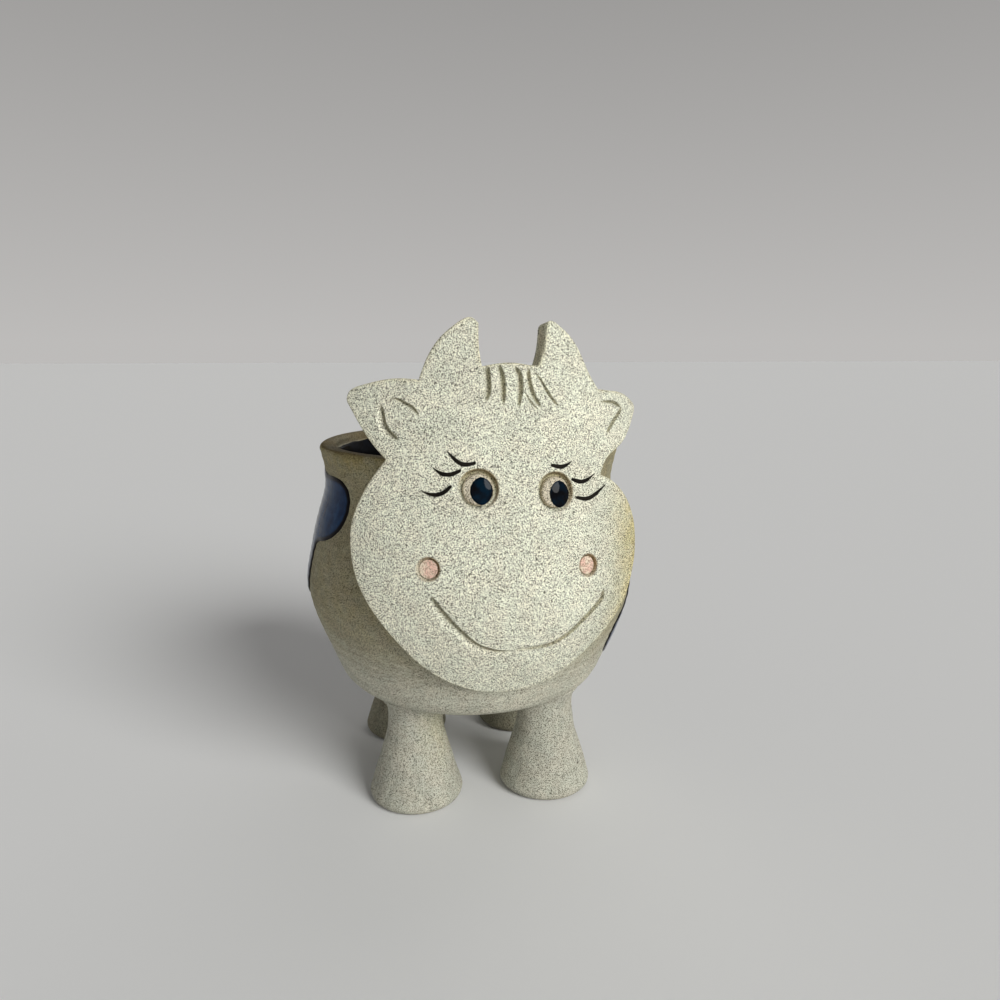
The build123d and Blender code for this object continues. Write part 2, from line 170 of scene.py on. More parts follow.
# The slab's outline, laid out flat: shares of face_half_width across, and of horn_rise above or
# chin_drop below the line where the chin starts to curve under. It runs clockwise from the chin, and
# each stretch starts in a corner and ends where the next one starts.
head_outline_shares = [
    [(0.0, -0.994), (-0.2, -0.97), (-0.39, -0.89), (-0.545, -0.776), (-0.675, -0.63), (-0.79, -0.45),
     (-0.952, -0.14), (-1.014, 0.09), (-0.996, 0.2), (-0.937, 0.286), (-0.852, 0.37)],
    [(-0.743, 0.453), (-0.79, 0.49), (-0.88, 0.575), (-0.96, 0.672)],
    [(-0.99, 0.708), (-0.972, 0.742)],
    [(-0.91, 0.763), (-0.80, 0.774), (-0.65, 0.78)],
    [(-0.52, 0.768), (-0.463, 0.859), (-0.378, 0.938)],
    [(-0.28, 0.991), (-0.2, 1.009)],
    [(-0.16, 0.985), (-0.163, 0.875)],
    [(-0.152, 0.81), (-0.065, 0.82), (0.04, 0.823), (0.13, 0.814)],
    [(0.19, 0.812), (0.228, 0.88)],
    [(0.256, 0.985), (0.283, 1.0)],
    [(0.32, 0.993), (0.42, 0.94), (0.5, 0.862), (0.56, 0.785)],
    [(0.63, 0.724), (0.74, 0.722), (0.9, 0.716)],
    [(1.01, 0.692), (1.065, 0.666)],
    [(1.06, 0.64), (0.955, 0.55), (0.87, 0.497), (0.78, 0.462), (0.68, 0.42)],
    [(0.615, 0.353), (0.69, 0.338), (0.8, 0.295), (0.895, 0.235), (0.965, 0.15), (0.975, 0.04),
     (0.926, -0.13), (0.868, -0.3), (0.79, -0.44), (0.67, -0.585), (0.53, -0.735), (0.37, -0.885),
     (0.19, -0.97)],
]

# Eyes and nostrils, placed on the same pattern
eye_radius = 6.2
eye_disc_radius = 5.1
eye_socket_depth = 1.6
# The eye disc's edge: toast, and painted shade in the crease where it meets the socket; each is how strong
# and how wide
eye_disc_edge = {"toast": (0.3, 0.6), "shade": (0.4, 0.35)}
eye_ring_slope = 0.55
eye_ring_spread = 0.35
eye_detail_radii = (4.6, 7.2)
eye_shares = {"left": (-0.207, 0.313), "right": (0.262, 0.288)}
pupil_half_width = 3.4
pupil_half_height = 4.1
pupil_thickness = 0.6
pupil_offset_shares = {"left": (0.18, -0.1), "right": (0.23, -0.14)}
pupil_pinch = 1.1
pupil_swell = 0.2
pupil_lift = 0.02
nostril_radius = 3.7
nostril_depth = 1.3
nostril_glaze_thickness = 0.5
nostril_slope = 0.5
nostril_spread = 0.2
nostril_disc_radius = 2.95
nostril_detail_radii = (2.4, 4.8)
nostril_shares = {"left": (-0.517, 0.0), "right": (0.474, -0.046)}
socket_ring_step = 0.26

# Discs on the face: how far below it their tops and bottoms lie, how round their edges are, how high
# their domes are, and how fine their meshes are. The nostrils' are dished instead.
discs = {
    "eye_disc": (0.25, eye_socket_depth, 0.9, 0.25, 0.6),
    "pupil": (-pupil_lift, 0.25, 0.3, pupil_thickness - pupil_lift, 0.2),
    "nostril_glaze": (nostril_depth - nostril_glaze_thickness, nostril_depth, 0.25, -0.12, 0.5),
}

# Painted shade round the sockets: their walls are darkened in ochre, brown and grey tints, most on the
# upper and right side, where they are in shadow. A band or line is how far in from the socket's edge its
# middle lies and how wide it is, and the bands' high power makes them even across. A lean is how strong a
# colour is, the way across and up in which it is strongest, and the place on that way where it starts and
# how far on it is full. The nostrils' brown changes evenly, by so much across and up.
band_power = 4
eye_band = (0.5, 0.8)
eye_line = (0.1, 0.35)
eye_shade_ochre_lean = (0.6, (0.25, 1.0), (-0.45, 1.1))
eye_shade_brown_lean = (0.75, (0.75, 0.65), (-0.7, 1.3))
eye_shade_lean = (0.5, (0.4, 1.0), (-0.4, 1.3))
nostril_band = (0.35, 0.62)
nostril_shade_brown = 0.68
nostril_shade_brown_lean = (0.27, 0.135)

# Grooves drawn in the clay with a slanted tool. On the left of the way each is drawn it has a steep
# wall, whose middle the points follow, and on its right a gentle slope and a ridge of pushed-up clay.
# Each is its points, the wall's width, its depth, and how deep it is along its length, as shares.
smile_depth_shares = [(0.0, 0.35), (0.06, 0.85), (0.45, 1.0), (0.75, 0.7), (0.9, 0.5), (1.0, 0.2)]
smile_end_depth_shares = [(0.0, 0.5), (0.08, 1.0), (0.4, 0.75), (0.8, 0.5), (0.95, 0.35), (1.0, 0.1)]
fringe_depth_shares = [(0.0, 0.45), (0.08, 0.9), (0.5, 1.0), (0.8, 0.8), (1.0, 0.1)]
hair_depth_shares = [(0.0, 0.2), (0.3, 0.7), (0.6, 1.0), (0.85, 0.8), (1.0, 0.1)]
ear_depth_shares = [(0.0, 0.35), (0.15, 0.9), (0.6, 1.0), (0.85, 0.8), (1.0, 0.2)]
upper_ear_depth_shares = [(0.0, 0.1), (0.25, 0.35), (0.5, 0.9), (0.85, 0.9), (1.0, 0.2)]
grooves = [
    ([(-0.506, -0.173), (-0.464, -0.24), (-0.425, -0.301), (-0.373, -0.373), (-0.322, -0.436),
      (-0.269, -0.494), (-0.198, -0.542), (-0.125, -0.567), (-0.027, -0.578)],
     1.5, 1.3, smile_depth_shares),
    ([(0.613, -0.229), (0.617, -0.285), (0.587, -0.321), (0.545, -0.362), (0.471, -0.425),
      (0.41, -0.482), (0.348, -0.524), (0.285, -0.558), (0.146, -0.582), (-0.006, -0.585)],
     1.05, 1.15, smile_end_depth_shares),
    ([(-0.114, 0.803), (-0.113, 0.766), (-0.111, 0.728), (-0.117, 0.699), (-0.129, 0.678),
      (-0.144, 0.664)], 1.2, 1.6, fringe_depth_shares),
    ([(-0.047, 0.809), (-0.032, 0.78), (-0.026, 0.741), (-0.026, 0.703), (-0.031, 0.673),
      (-0.037, 0.647)], 1.1, 1.5, fringe_depth_shares),
    ([(0.048, 0.802), (0.072, 0.78), (0.078, 0.745), (0.078, 0.711), (0.068, 0.677), (0.054, 0.634)],
     1.05, 1.4, fringe_depth_shares),
    ([(0.128, 0.792), (0.131, 0.76), (0.138, 0.731), (0.154, 0.692), (0.175, 0.663), (0.199, 0.633)],
     0.92, 1.25, fringe_depth_shares),
    ([(0.15, 0.792), (0.193, 0.76), (0.229, 0.722), (0.266, 0.682), (0.316, 0.641)],
     0.65, 0.9, hair_depth_shares),
    ([(0.089, 0.711), (0.119, 0.672), (0.176, 0.628)], 0.45, 0.45, hair_depth_shares),
    ([(-0.753, 0.674), (-0.742, 0.649), (-0.73, 0.598), (-0.698, 0.562), (-0.652, 0.531)],
     1.3, 1.5, ear_depth_shares),
    ([(-0.73, 0.687), (-0.668, 0.7), (-0.612, 0.682), (-0.559, 0.658), (-0.527, 0.626)],
     0.9, 1.15, upper_ear_depth_shares),
    ([(0.597, 0.666), (0.705, 0.674), (0.791, 0.672), (0.862, 0.652)], 0.8, 1.1, upper_ear_depth_shares),
    ([(0.868, 0.65), (0.845, 0.627), (0.798, 0.598), (0.749, 0.567), (0.691, 0.531)],
     0.8, 1.1, ear_depth_shares),
]
groove_narrowest_share = 0.4
groove_slope_share = 1.6
groove_slope_power = 1.2
ridge_place_share = 2.0
ridge_height_share = 0.17
ridge_width = 0.55
groove_band = 2.8
groove_fine_band = 0.9
groove_step = 0.3
groove_cross_step = 0.15
disc_step = 0.36
oval_step = 0.25

# The shade in a groove: how strong it is, how it gathers, how soon a shallow groove has it in full, and
# in widths of the wall where it starts and how far on it is full, and where it ends and how long it fades
groove_shade = 0.78
groove_shade_power = 1.5
groove_shade_gain = 1.5
groove_shade_start_shares = (-1.2, 1.4)
groove_shade_end_shares = (1.05, 0.4)

# Lashes on the same pattern, each drawn from its outer tip to its full inner end
lash_shares = {
    "left": [
        [(-0.376, 0.476), (-0.335, 0.44), (-0.285, 0.417), (-0.222, 0.42)],
        [(-0.46, 0.411), (-0.41, 0.384), (-0.36, 0.379), (-0.307, 0.392)],
        [(-0.532, 0.318), (-0.48, 0.303), (-0.424, 0.302), (-0.365, 0.33)],
    ],
    "right": [
        [(0.383, 0.414), (0.317, 0.393), (0.244, 0.399)],
        [(0.552, 0.357), (0.446, 0.326), (0.38, 0.337)],
        [(0.65, 0.31), (0.56, 0.272), (0.483, 0.253), (0.411, 0.26)],
    ],
}
lash_half_width = 0.67
lash_width_shares = [(0.0, 0.1), (0.4, 0.9), (0.75, 1.0), (1.0, 0.72)]
lash_thickness = 0.12
lash_lift = 0.03
lash_root = 0.35
lash_line_step = 0.22
lash_lattice = 0.3
lash_end_turns = 7

# Patches of blue glaze on the pot: the half width of each round the belly, then the bearing of its
# middle as a share of a full turn, from the face towards +X, its middle and its half height as shares
# of the wall's height, and its outline as shares of the half width and the half height
patch_half_width = {"left_flank": 36.8, "right_flank": 41.1, "back_left": 18.4, "back_right": 19.5}
patch_shares = {
    "left_flank": (-0.253, 0.645, 0.273, [
        (0.41, 0.9), (0.7, 0.91), (0.93, 0.81), (1.0, 0.62), (0.95, 0.28), (0.81, 0.11), (0.56, -0.02),
        (0.35, -0.14), (0.3, -0.42), (0.27, -0.8), (-0.05, -1.0), (-0.45, -0.82), (-0.62, -0.4),
        (-0.95, -0.1), (-1.0, 0.35), (-0.7, 0.75), (-0.15, 0.95)]),
    "right_flank": (0.256, 0.366, 0.24, [
        (-0.63, 0.22), (-0.75, -0.05), (-0.97, -0.32), (-1.0, -0.7), (-0.6, -0.98), (-0.05, -0.8),
        (0.35, -0.95), (0.85, -0.6), (1.0, 0.0), (0.75, 0.55), (0.3, 0.7), (0.0, 1.0), (-0.4, 0.85),
        (-0.55, 0.5)]),
    "back_left": (-0.406, 0.29, 0.142, [
        (-0.9, 0.3), (-1.0, -0.35), (-0.4, -1.0), (0.45, -0.85), (1.0, -0.1), (0.7, 0.75), (-0.1, 1.0)]),
    "back_right": (0.397, 0.727, 0.164, [
        (-0.95, 0.1), (-0.8, -0.75), (0.0, -1.0), (0.85, -0.6), (1.0, 0.3), (0.4, 0.65), (0.1, 1.0),
        (-0.6, 0.85)]),
}

# Tail: its ends as shares of the wall's height, and its path as shares of the tuft's half width
# sideways and of the tail's length upwards, with its half width as a share of the tuft's
tail_bearing = math.radians(178.0)
tail_thickness = 4.0
tail_top_share = 0.77
tail_foot_share = 0.202
tuft_half_width = 7.5
tail_path_shares = [(0.0, 1.0, 0.3), (0.05, 0.95, 0.48), (-0.25, 0.82, 0.46), (-0.6, 0.66, 0.4),
                    (-0.5, 0.5, 0.38), (0.0, 0.36, 0.42), (0.3, 0.26, 0.78), (0.42, 0.17, 1.0),
                    (0.42, 0.09, 0.8), (0.38, 0.0, 0.2)]
tuft_strokes_shares = [
    [(-0.02, 0.29), (-0.12, 0.2), (0.0, 0.09)],
    [(0.22, 0.29), (0.38, 0.19), (0.38, 0.05)],
    [(0.42, 0.29), (0.8, 0.19), (0.76, 0.09)],
]
tuft_groove_width = 0.9
tuft_groove_depth = 1.2
tuft_groove_band = 1.75
tail_round = 2.6
tail_line_step = 0.6
tail_lattice = 0.9
tail_wall_rows = 2
tail_swell_size = 5.0
tail_swell_depth = 0.2
tail_swell_margin = 2.0
tail_least_thickness = 0.1
tail_toast = 0.15

# Clays: each kind's pale and dark grains, and how many times as fast its wiped streaks change across,
# along and up. The pot's clay is darker than the head's, partly its own tone and partly painted shade for
# its shaded side.
clays = {
    "head": ((0.91, 0.91, 0.755), (0.07, 0.067, 0.045), (1, 1, 1)),
    "eyes": ((0.73, 0.67, 0.53), (0.07, 0.06, 0.04), (1, 1, 1)),
    "pot": ((0.62, 0.61, 0.505), (0.18, 0.17, 0.13), (0.12, 0.12, 1)),
    "legs": ((0.56, 0.56, 0.485), (0.17, 0.168, 0.135), (1, 1, 0.2)),
}
clay_shine = 0.2
pepper_share = 0.5
warm_tint = (1.012, 0.995, 0.985)
cool_tint = (0.985, 1.003, 1.0)
iron_colour = (0.07, 0.055, 0.04)
iron_spot_spacing = 7.0
# Tints that the pieces' colour values mix in: toast is the fired clay's own; brown is partly the clay's own
# and partly painted shade in the sockets and on the lip; shade is painted shade
fired_and_painted_shade_tints = {"toast": (0.89, 0.78, 0.47), "brown": (0.36, 0.23, 0.12), "shade": (0.36, 0.33, 0.24)}

# Dark glazes: each one's two tones, its roughness, its shine and the size of its ripples
dark_glazes = {
    "black_glaze": ((0.002, 0.002, 0.003), (0.001, 0.01, 0.022), 0.05, 0.08, 4.0),
    "liner_glaze": ((0.003, 0.003, 0.0035), (0.005, 0.006, 0.009), 0.15, 0.05, 6.0),
    "lash_black": ((0.006, 0.005, 0.004), (0.012, 0.01, 0.007), 0.6, 0.08, 1.0),
}
dark_ripple_detail = (2.0, 0.5)
blue_deep = (0.01, 0.024, 0.065)
blue_pooled = (0.016, 0.05, 0.125)
blue_run = (0.05, 0.1, 0.17)
blue_run_strength = 0.35
blue_run_stretch = (1, 1, 0.12)
blue_fleck = (0.07, 0.11, 0.17)
blue_fleck_strength = 0.3
blue_thin = (0.007, 0.006, 0.007)
blue_roughness = 0.14
blue_shine = 0.045
pink_deep = (0.78, 0.52, 0.42)
pink_pale = (0.8, 0.69, 0.54)
pink_speck = (0.36, 0.24, 0.17)
pink_roughness = 0.6

# Noise in the clays and glazes: the size of its features, how much finer detail they have, and how
# rough that is
noises = {
    "grain": (0.28, 0.6, 0.5), "pepper": (0.42, 0.0, 0.5), "tint": (6.0, 2.0, 0.5),
    "cloud": (15.0, 3.0, 0.5), "streak": (1.5, 3.0, 0.6), "toast": (5.0, 3.0, 0.5),
    "fine": (0.3, 2.0, 0.7), "pool": (6.0, 4.0, 0.6), "run": (3.0, 3.0, 0.6),
    "fleck": (0.5, 2.0, 0.6), "blue": (5.0, 1.0, 0.5), "tone": (5.0, 3.0, 0.5),
    "wash": (2.6, 2.0, 0.5), "pink": (0.36, 0.6, 0.5),
}

# What is made of a noise or another value: where it starts and ends, and the values there if they
# aren't 0 and 1
ramps = {
    "grain": (0.4, 0.47), "pepper": (0.68, 0.74), "tint": (0.35, 0.65), "cloud": (0.3, 0.7, 0.93, 1.03),
    "dryness": (0.3, 0.7, 0.8, 0.93), "streak": (0.35, 0.62, 0.88, 1.04), "spot": (0.08, 0.04),
    "chosen": (0.8, 0.82), "toast": (0.3, 0.6, 0.6, 1.0), "pool": (0.35, 0.7), "run": (0.45, 0.7),
    "fleck": (0.62, 0.72), "thin": (0.1, 0.75), "tone": (0.4, 0.65), "wash": (0.4, 0.62),
    "pink": (0.36, 0.54),
}

# Bumps: how deep they are and how strongly they show
bumps = {"fine": (0.06, 0.5), "grain": (0.12, 0.6), "blue": (0.04, 0.5), "dark": (0.06, 0.4),
         "pink": (0.15, 0.5)}

# Camera, fitted to the photograph's 1000 by 1000 pixels
camera_place = (-43.93, -292.62, 165.67)
camera_target = (11.90, 0.0, 108.51)
camera_roll = math.radians(0.13)
camera_focal_pixels = 777.73
camera_centre_row = 490.74
picture_pixels = 1000.0
sensor_width = 36.0
camera_near = 10.0

# Floor and lights. A light is its bearing from the face towards +X and its height in degrees, its
# strength, how many degrees of the sky it fills, and its colour. The studio's own glow is the same all
# round and fades upwards: two heights, from 0 at the horizon to 1 overhead, and its strength at each.
floor_reach = 6000.0
floor_colour = (0.8, 0.81, 0.82)
key_light = (32, 28, 2.6, 32, (1.0, 0.99, 0.96))
back_light = (150, 48, 0.3, 50, (1.0, 0.97, 0.92))
studio_colour = (1.0, 0.98, 0.96)
studio_glow = (0.0, 1.0, 0.51, 0.04)

# How finely meshes are made: steps round a rounded edge, points taken at once, the least gaps between
# points, as a length or as shares of their spacing, the share of its distance from the outline that a
# rounding's point must keep, a triangle's least area, and how near each other two points are one
rounding_turns = 6
chunk = 4000
rounding_gap = 0.02
detail_gap_share = 0.8
lattice_gap_share = 0.6
inset_keep_share = 0.97
least_area = 1e-9
same_place = 1e-6

# Sizes that follow from others
wall_rise = rim_height - pot_base_height
floor_height = pot_base_height + pot_floor
rim_radius = belly_radius - rim_draw_in


def curve_through(points, step, closed=False):
    """Points about a step apart on the cubic curve that runs smoothly through the given ones."""
    p = np.array(points, float)
    count = len(p)
    if closed:
        p = np.vstack([p, p, p])
    h = np.linalg.norm(np.diff(p, axis=0), axis=1)
    knots = np.concatenate([[0], np.cumsum(h)])
    rise = np.diff(p, axis=0) / h[:, None]
    matrix = np.eye(len(p))
    target = np.zeros_like(p)
    for i in range(1, len(p) - 1):
        matrix[i, i - 1:i + 2] = h[i - 1], 2 * (h[i - 1] + h[i]), h[i]
        target[i] = 6 * (rise[i] - rise[i - 1])
    bend = np.linalg.solve(matrix, target)
    start, end = (knots[count], knots[2 * count]) if closed else (0, knots[-1])
    samples = max(2, math.ceil((end - start) / step))
    s = np.linspace(start, end, samples + 1)
    if closed:
        s = s[:-1]
    i = np.clip(np.searchsorted(knots, s, side="right") - 1, 0, len(h) - 1)
    b = ((s - knots[i]) / h[i])[:, None]
    a = 1 - b
    curved = ((a ** 3 - a) * bend[i] + (b ** 3 - b) * bend[i + 1]) * (h[i] ** 2)[:, None] / 6
    return a * p[i] + b * p[i + 1] + curved


def smooth(x):
    """From 0 to 1 without corners, as x goes from 0 to 1."""
    x = np.clip(x, 0, 1)
    return x * x * (3 - 2 * x)


def rising(x, start_and_run):
    """From 0 to 1 without corners, from a start and over a run."""
    start, run = start_and_run
    return smooth((x - start) / run)


def bell(x, middle, width, power=2):
    """1 at the middle and falling away on both sides, with a flatter top for a higher power."""
    return np.exp(-((x - middle) / width) ** power)


def rough(points, size):
    """Soft noise from about -1 to 1 at each flat or solid point, with features of that size."""
    points = np.pad(points / size, ((0, 0), (0, 3 - points.shape[1])))
    return np.array([noise.noise(Vector(p)) for p in points])


def left_of(ahead):
    """Unit vectors square to these, on their left."""
    return np.stack([-ahead[:, 1], ahead[:, 0]], axis=1) / np.linalg.norm(ahead, axis=1)[:, None]


def near_line(points, line, closed=False):
    """For each point: its distance from a line, how far along it is as a share, and its side."""
    starts = line if closed else line[:-1]
    ends = np.roll(line, -1, axis=0) if closed else line[1:]
    runs = ends - starts
    lengths = np.linalg.norm(runs, axis=1)
    before = np.concatenate([[0], np.cumsum(lengths)[:-1]])
    total = lengths.sum()
    found = []
    for i in range(0, len(points), chunk):
        p = points[i:i + chunk, None, :]
        along = np.clip(((p - starts) * runs).sum(2) / lengths ** 2, 0, 1)
        away = p - (starts + along[..., None] * runs)
        distance = np.linalg.norm(away, axis=2)
        best = distance.argmin(1)
        rows = np.arange(len(best))
        offset = away[rows, best]
        run = runs[best]
        side = np.sign(run[:, 0] * offset[:, 1] - run[:, 1] * offset[:, 0])
        share = (before[best] + along[rows, best] * lengths[best]) / total
        found.append(np.stack([distance[rows, best], share, side], axis=1))
    return np.vstack(found).T


def inside(points, outline):
    """Which points lie inside a closed outline."""
    x0, y0 = outline.T
    x1, y1 = np.roll(outline, -1, axis=0).T
    answer = []
    for i in range(0, len(points), chunk):
        x, y = points[i:i + chunk].T[:, :, None]
        spans = (y0 > y) != (y1 > y)
        with np.errstate(divide="ignore", invalid="ignore"):
            crossing = x0 + (y - y0) * (x1 - x0) / (y1 - y0)
        answer.append((spans & (x < crossing)).sum(1) % 2 == 1)
    return np.concatenate(answer)


def clear_of(new, kept, gap):
    """The new points that lie more than a gap from every kept one."""
    tree = kdtree.KDTree(len(kept))
    for i, (x, y) in enumerate(kept):
        tree.insert((x, y, 0), i)
    tree.balance()
    return np.array([p for p in new if tree.find((p[0], p[1], 0))[2] > gap]).reshape(-1, 2)


def rounding_points(outline, radius):
    """Points inside a closed outline, in rows that shape a rounded edge."""
    inward = left_of(np.roll(outline, -1, axis=0) - np.roll(outline, 1, axis=0))
    rows = []
    for i in range(1, rounding_turns + 1):
        distance = radius * (1 - math.cos(math.pi / 2 * i / rounding_turns))
        row = outline + inward * distance
        true_distance = near_line(row, outline, closed=True)[0]
        rows.append(row[true_distance > inset_keep_share * distance])
    return np.vstack(rows)


def lattice(outline, spacing):
    """Points of a lattice of triangles inside an outline."""
    low, high = outline.min(0), outline.max(0)
    row_gap = spacing * math.sqrt(3) / 2
    rows = np.arange(low[1], high[1], row_gap)
    points = np.array([
        (x, y) for i, y in enumerate(rows)
        for x in np.arange(low[0] + (i % 2) * spacing / 2, high[0], spacing)
    ])
    return points[inside(points, outline)]


def flat_mesh(outline, edge_round, details, spacing):
    """What fills an outline: points, triangles, the outline's own points, distances from its edge."""
    count = len(outline)
    rounding = rounding_points(outline, edge_round)
    points = np.vstack([outline, clear_of(rounding, outline, rounding_gap)])
    for group in details:
        group = group[inside(group, outline)]
        points = np.vstack([points, clear_of(group, points, groove_cross_step * detail_gap_share)])
    filling = lattice(outline, spacing)
    points = np.vstack([points, clear_of(filling, points, spacing * lattice_gap_share)])
    edges = [(i, (i + 1) % count) for i in range(count)]
    made = delaunay_2d_cdt([Vector(p) for p in points], edges, [list(range(count))], 1, same_place)
    verts, _, faces, origins = made[:4]
    place = {origin: i for i, sources in enumerate(origins) for origin in sources}
    border = [place[i] for i in range(count)]
    verts = np.array([(v.x, v.y) for v in verts])
    triangles = np.array(faces)
    a, b, c = (verts[triangles[:, i]] for i in range(3))
    area = (b[:, 0] - a[:, 0]) * (c[:, 1] - a[:, 1]) - (b[:, 1] - a[:, 1]) * (c[:, 0] - a[:, 0])
    triangles[area < 0] = triangles[area < 0][:, ::-1]
    triangles = triangles[np.abs(area) > least_area]
    return verts, triangles, border, near_line(verts, outline, closed=True)[0]


def closed_slab(front, back, triangles, border, side_rows=1):
    """A closed mesh from a front and a back with the same triangles, and a wall between them."""
    count = len(front)
    rows = [np.array(border)]
    verts = [front, back]
    total = 2 * count
    for i in range(1, side_rows + 1):
        share = i / (side_rows + 1)
        verts.append(front[border] * (1 - share) + back[border] * share)
        rows.append(np.arange(total, total + len(border)))
        total += len(border)
    rows.append(np.array(border) + count)
    faces = [tuple(t) for t in triangles] + [tuple(t[::-1] + count) for t in triangles]
    for upper, lower in zip(rows, rows[1:]):
        upper_next, lower_next = np.roll(upper, -1), np.roll(lower, -1)
        faces += list(zip(upper, lower, lower_next, upper_next))
    return np.vstack(verts), faces


def over_slab(values, border):
    """The values of a front's points, for every point of a slab with one row in its wall."""
    return np.concatenate([values, values, values[border]])


def edge_drop(edge, radius):
    """How far a rounded edge lies below the surface, at a distance from the outline."""
    inwards = np.clip(1 - edge / radius, 0, 1)
    return radius * (1 - np.sqrt(1 - inwards ** 2))


def counterclockwise(outline):
    """A closed outline, turned round if it ran clockwise."""
    x, y = outline.T
    area = (x * np.roll(y, -1) - np.roll(x, -1) * y).sum()
    return outline if area > 0 else outline[::-1]


def closed_outline(stretches_shares, step):
    """One closed line on the pattern from stretches that meet in corners."""
    following = stretches_shares[1:] + stretches_shares[:1]
    parts = [on_pattern([*a, b[0]], step)[:-1] for a, b in zip(stretches_shares, following)]
    return counterclockwise(np.vstack(parts))


def add_object(name, data):
    """A new object in the scene."""
    made = bpy.data.objects.new(name, data)
    bpy.context.scene.collection.objects.link(made)
    return made


def make_piece(name, node, slot_name, verts, faces, attributes):
    """A piece from points in millimetres, standing for a CAD node, with its slot's material."""
    mesh = bpy.data.meshes.new(name)
    mesh.from_pydata((verts * MM).tolist(), [], [tuple(int(i) for i in f) for f in faces])
    mesh.shade_smooth()
    for attribute_name, values in attributes.items():
        attribute = mesh.attributes.new(attribute_name, "FLOAT", "POINT")
        attribute.data.foreach_set("value", np.asarray(values, np.float32))
    mesh.materials.append(materials[slot_name])
    piece = add_object(name, mesh)
    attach(piece, "root")
    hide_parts(node)


def between(lower, upper, shares):
    """Points on the way from one ring to the next, given as shares of height and radius."""
    (radius_0, height_0), (radius_1, height_1) = lower, upper
    return [
        (radius_0 + out * (radius_1 - radius_0), height_0 + up * (height_1 - height_0))
        for up, out in shares
    ]


def wall_points():
    """The pot's outside from its base to its lip, as radii and heights."""
    rings = [
        (pot_base_radius, pot_base_height),
        (belly_radius - haunch_draw_in, haunch_height),
        (belly_radius, belly_height),
        (belly_radius - neck_draw_in, rim_height - neck_below_rim),
        (rim_radius, rim_height - lip_round),
    ]
    ways = [base_to_haunch_shares, haunch_to_belly_shares, belly_to_neck_shares, neck_to_rim_shares]
    points = [rings[0]]
    for lower, upper, shares in zip(rings, rings[1:], ways):
        points += [*between(lower, upper, shares), upper]
    return points


wall_line = curve_through(wall_points(), pot_step / 3)


def pot_radius(height):
    """The pot's outer radius at a height."""
    return np.interp(height, wall_line[:, 1], wall_line[:, 0])


def ring_points(radius, angle, height):
    """Points by radius, bearing from the face, and height."""
    return np.stack([radius * np.sin(angle), -radius * np.cos(angle), height], axis=1)


def pot_relief(angle, height):
    """How far throwing rings and unevenness take the pot's outside in from its full radius."""
    places = ring_points(pot_radius(height), angle, height)
    swell = rough(places, pot_swell_size)
    waver = 2 * rough(places, 2 * pot_swell_size)
    rings = np.sin(2 * math.pi * (height / throwing_pitch) + angle + waver)
    return pot_swell_depth * (swell - 1) + throwing_depth * (rings - 1)


def on_pot(angle, height, raised):
    """Points on the pot's outside, by bearing from the face and height."""
    return ring_points(pot_radius(height) + pot_relief(angle, height) + raised, angle, height)


def slab_on_pot(flat, triangles, border, bearing, raised, side_rows=1):
    """A slab on the pot's outside from a flat mesh, sunk a little into the wall behind it."""
    angle = flat[:, 0] / belly_radius + bearing
    front = on_pot(angle, flat[:, 1], raised)
    back = on_pot(angle, flat[:, 1], -glaze_bite)
    return closed_slab(front, back, triangles, border, side_rows)


def arc(centre, radius, start, end):
    """Points of an arc in a profile, by angles from the outward direction, without its ends."""
    turns = np.linspace(math.radians(start), math.radians(end), rounding_turns + 2)[1:-1]
    return [(centre[0] + radius * math.cos(t), centre[1] + radius * math.sin(t)) for t in turns]


def straight(start, end, step):
    """Points of a straight run of a profile, without its start."""
    count = max(1, math.ceil(math.dist(start, end) / step))
    return [list(np.array(start) + (np.array(end) - start) * (i + 1) / count) for i in range(count)]


def inner_wall(shrunk=0.0):
    """The inside of the pot from the floor's edge to the mouth, drawn in by a thickness of glaze."""
    inset = pot_wall + shrunk
    floor_edge = (pot_base_radius - inset, floor_height + shrunk)
    upper = [(r - inset, z) for r, z in wall_points() if z > floor_edge[1] + pot_wall]
    points = [floor_edge, *between(floor_edge, upper[0], floor_to_wall_shares), *upper]
    return curve_through(points, pot_step)


def turned_mesh(profile, segments, closed):
    """Rings of points round an axis, and their faces. An open profile gets a point at each end."""
    rings = len(profile)
    angles = 2 * math.pi * np.arange(segments) / segments
    radius = np.repeat(np.array(profile)[:, 0], segments)
    height = np.repeat(np.array(profile)[:, 1], segments)
    angle = np.tile(angles, rings)
    faces = []
    for i in range(rings if closed else rings - 1):
        lower = i * segments + np.arange(segments)
        upper = ((i + 1) % rings) * segments + np.arange(segments)
        faces += list(zip(lower, np.roll(lower, -1), np.roll(upper, -1), upper))
    if not closed:
        first, last = rings * segments, rings * segments + 1
        for j in range(segments):
            after = (j + 1) % segments
            top = (rings - 1) * segments
            faces.append((first, after, j))
            faces.append((last, top + j, top + after))
    return radius, height, angle, faces


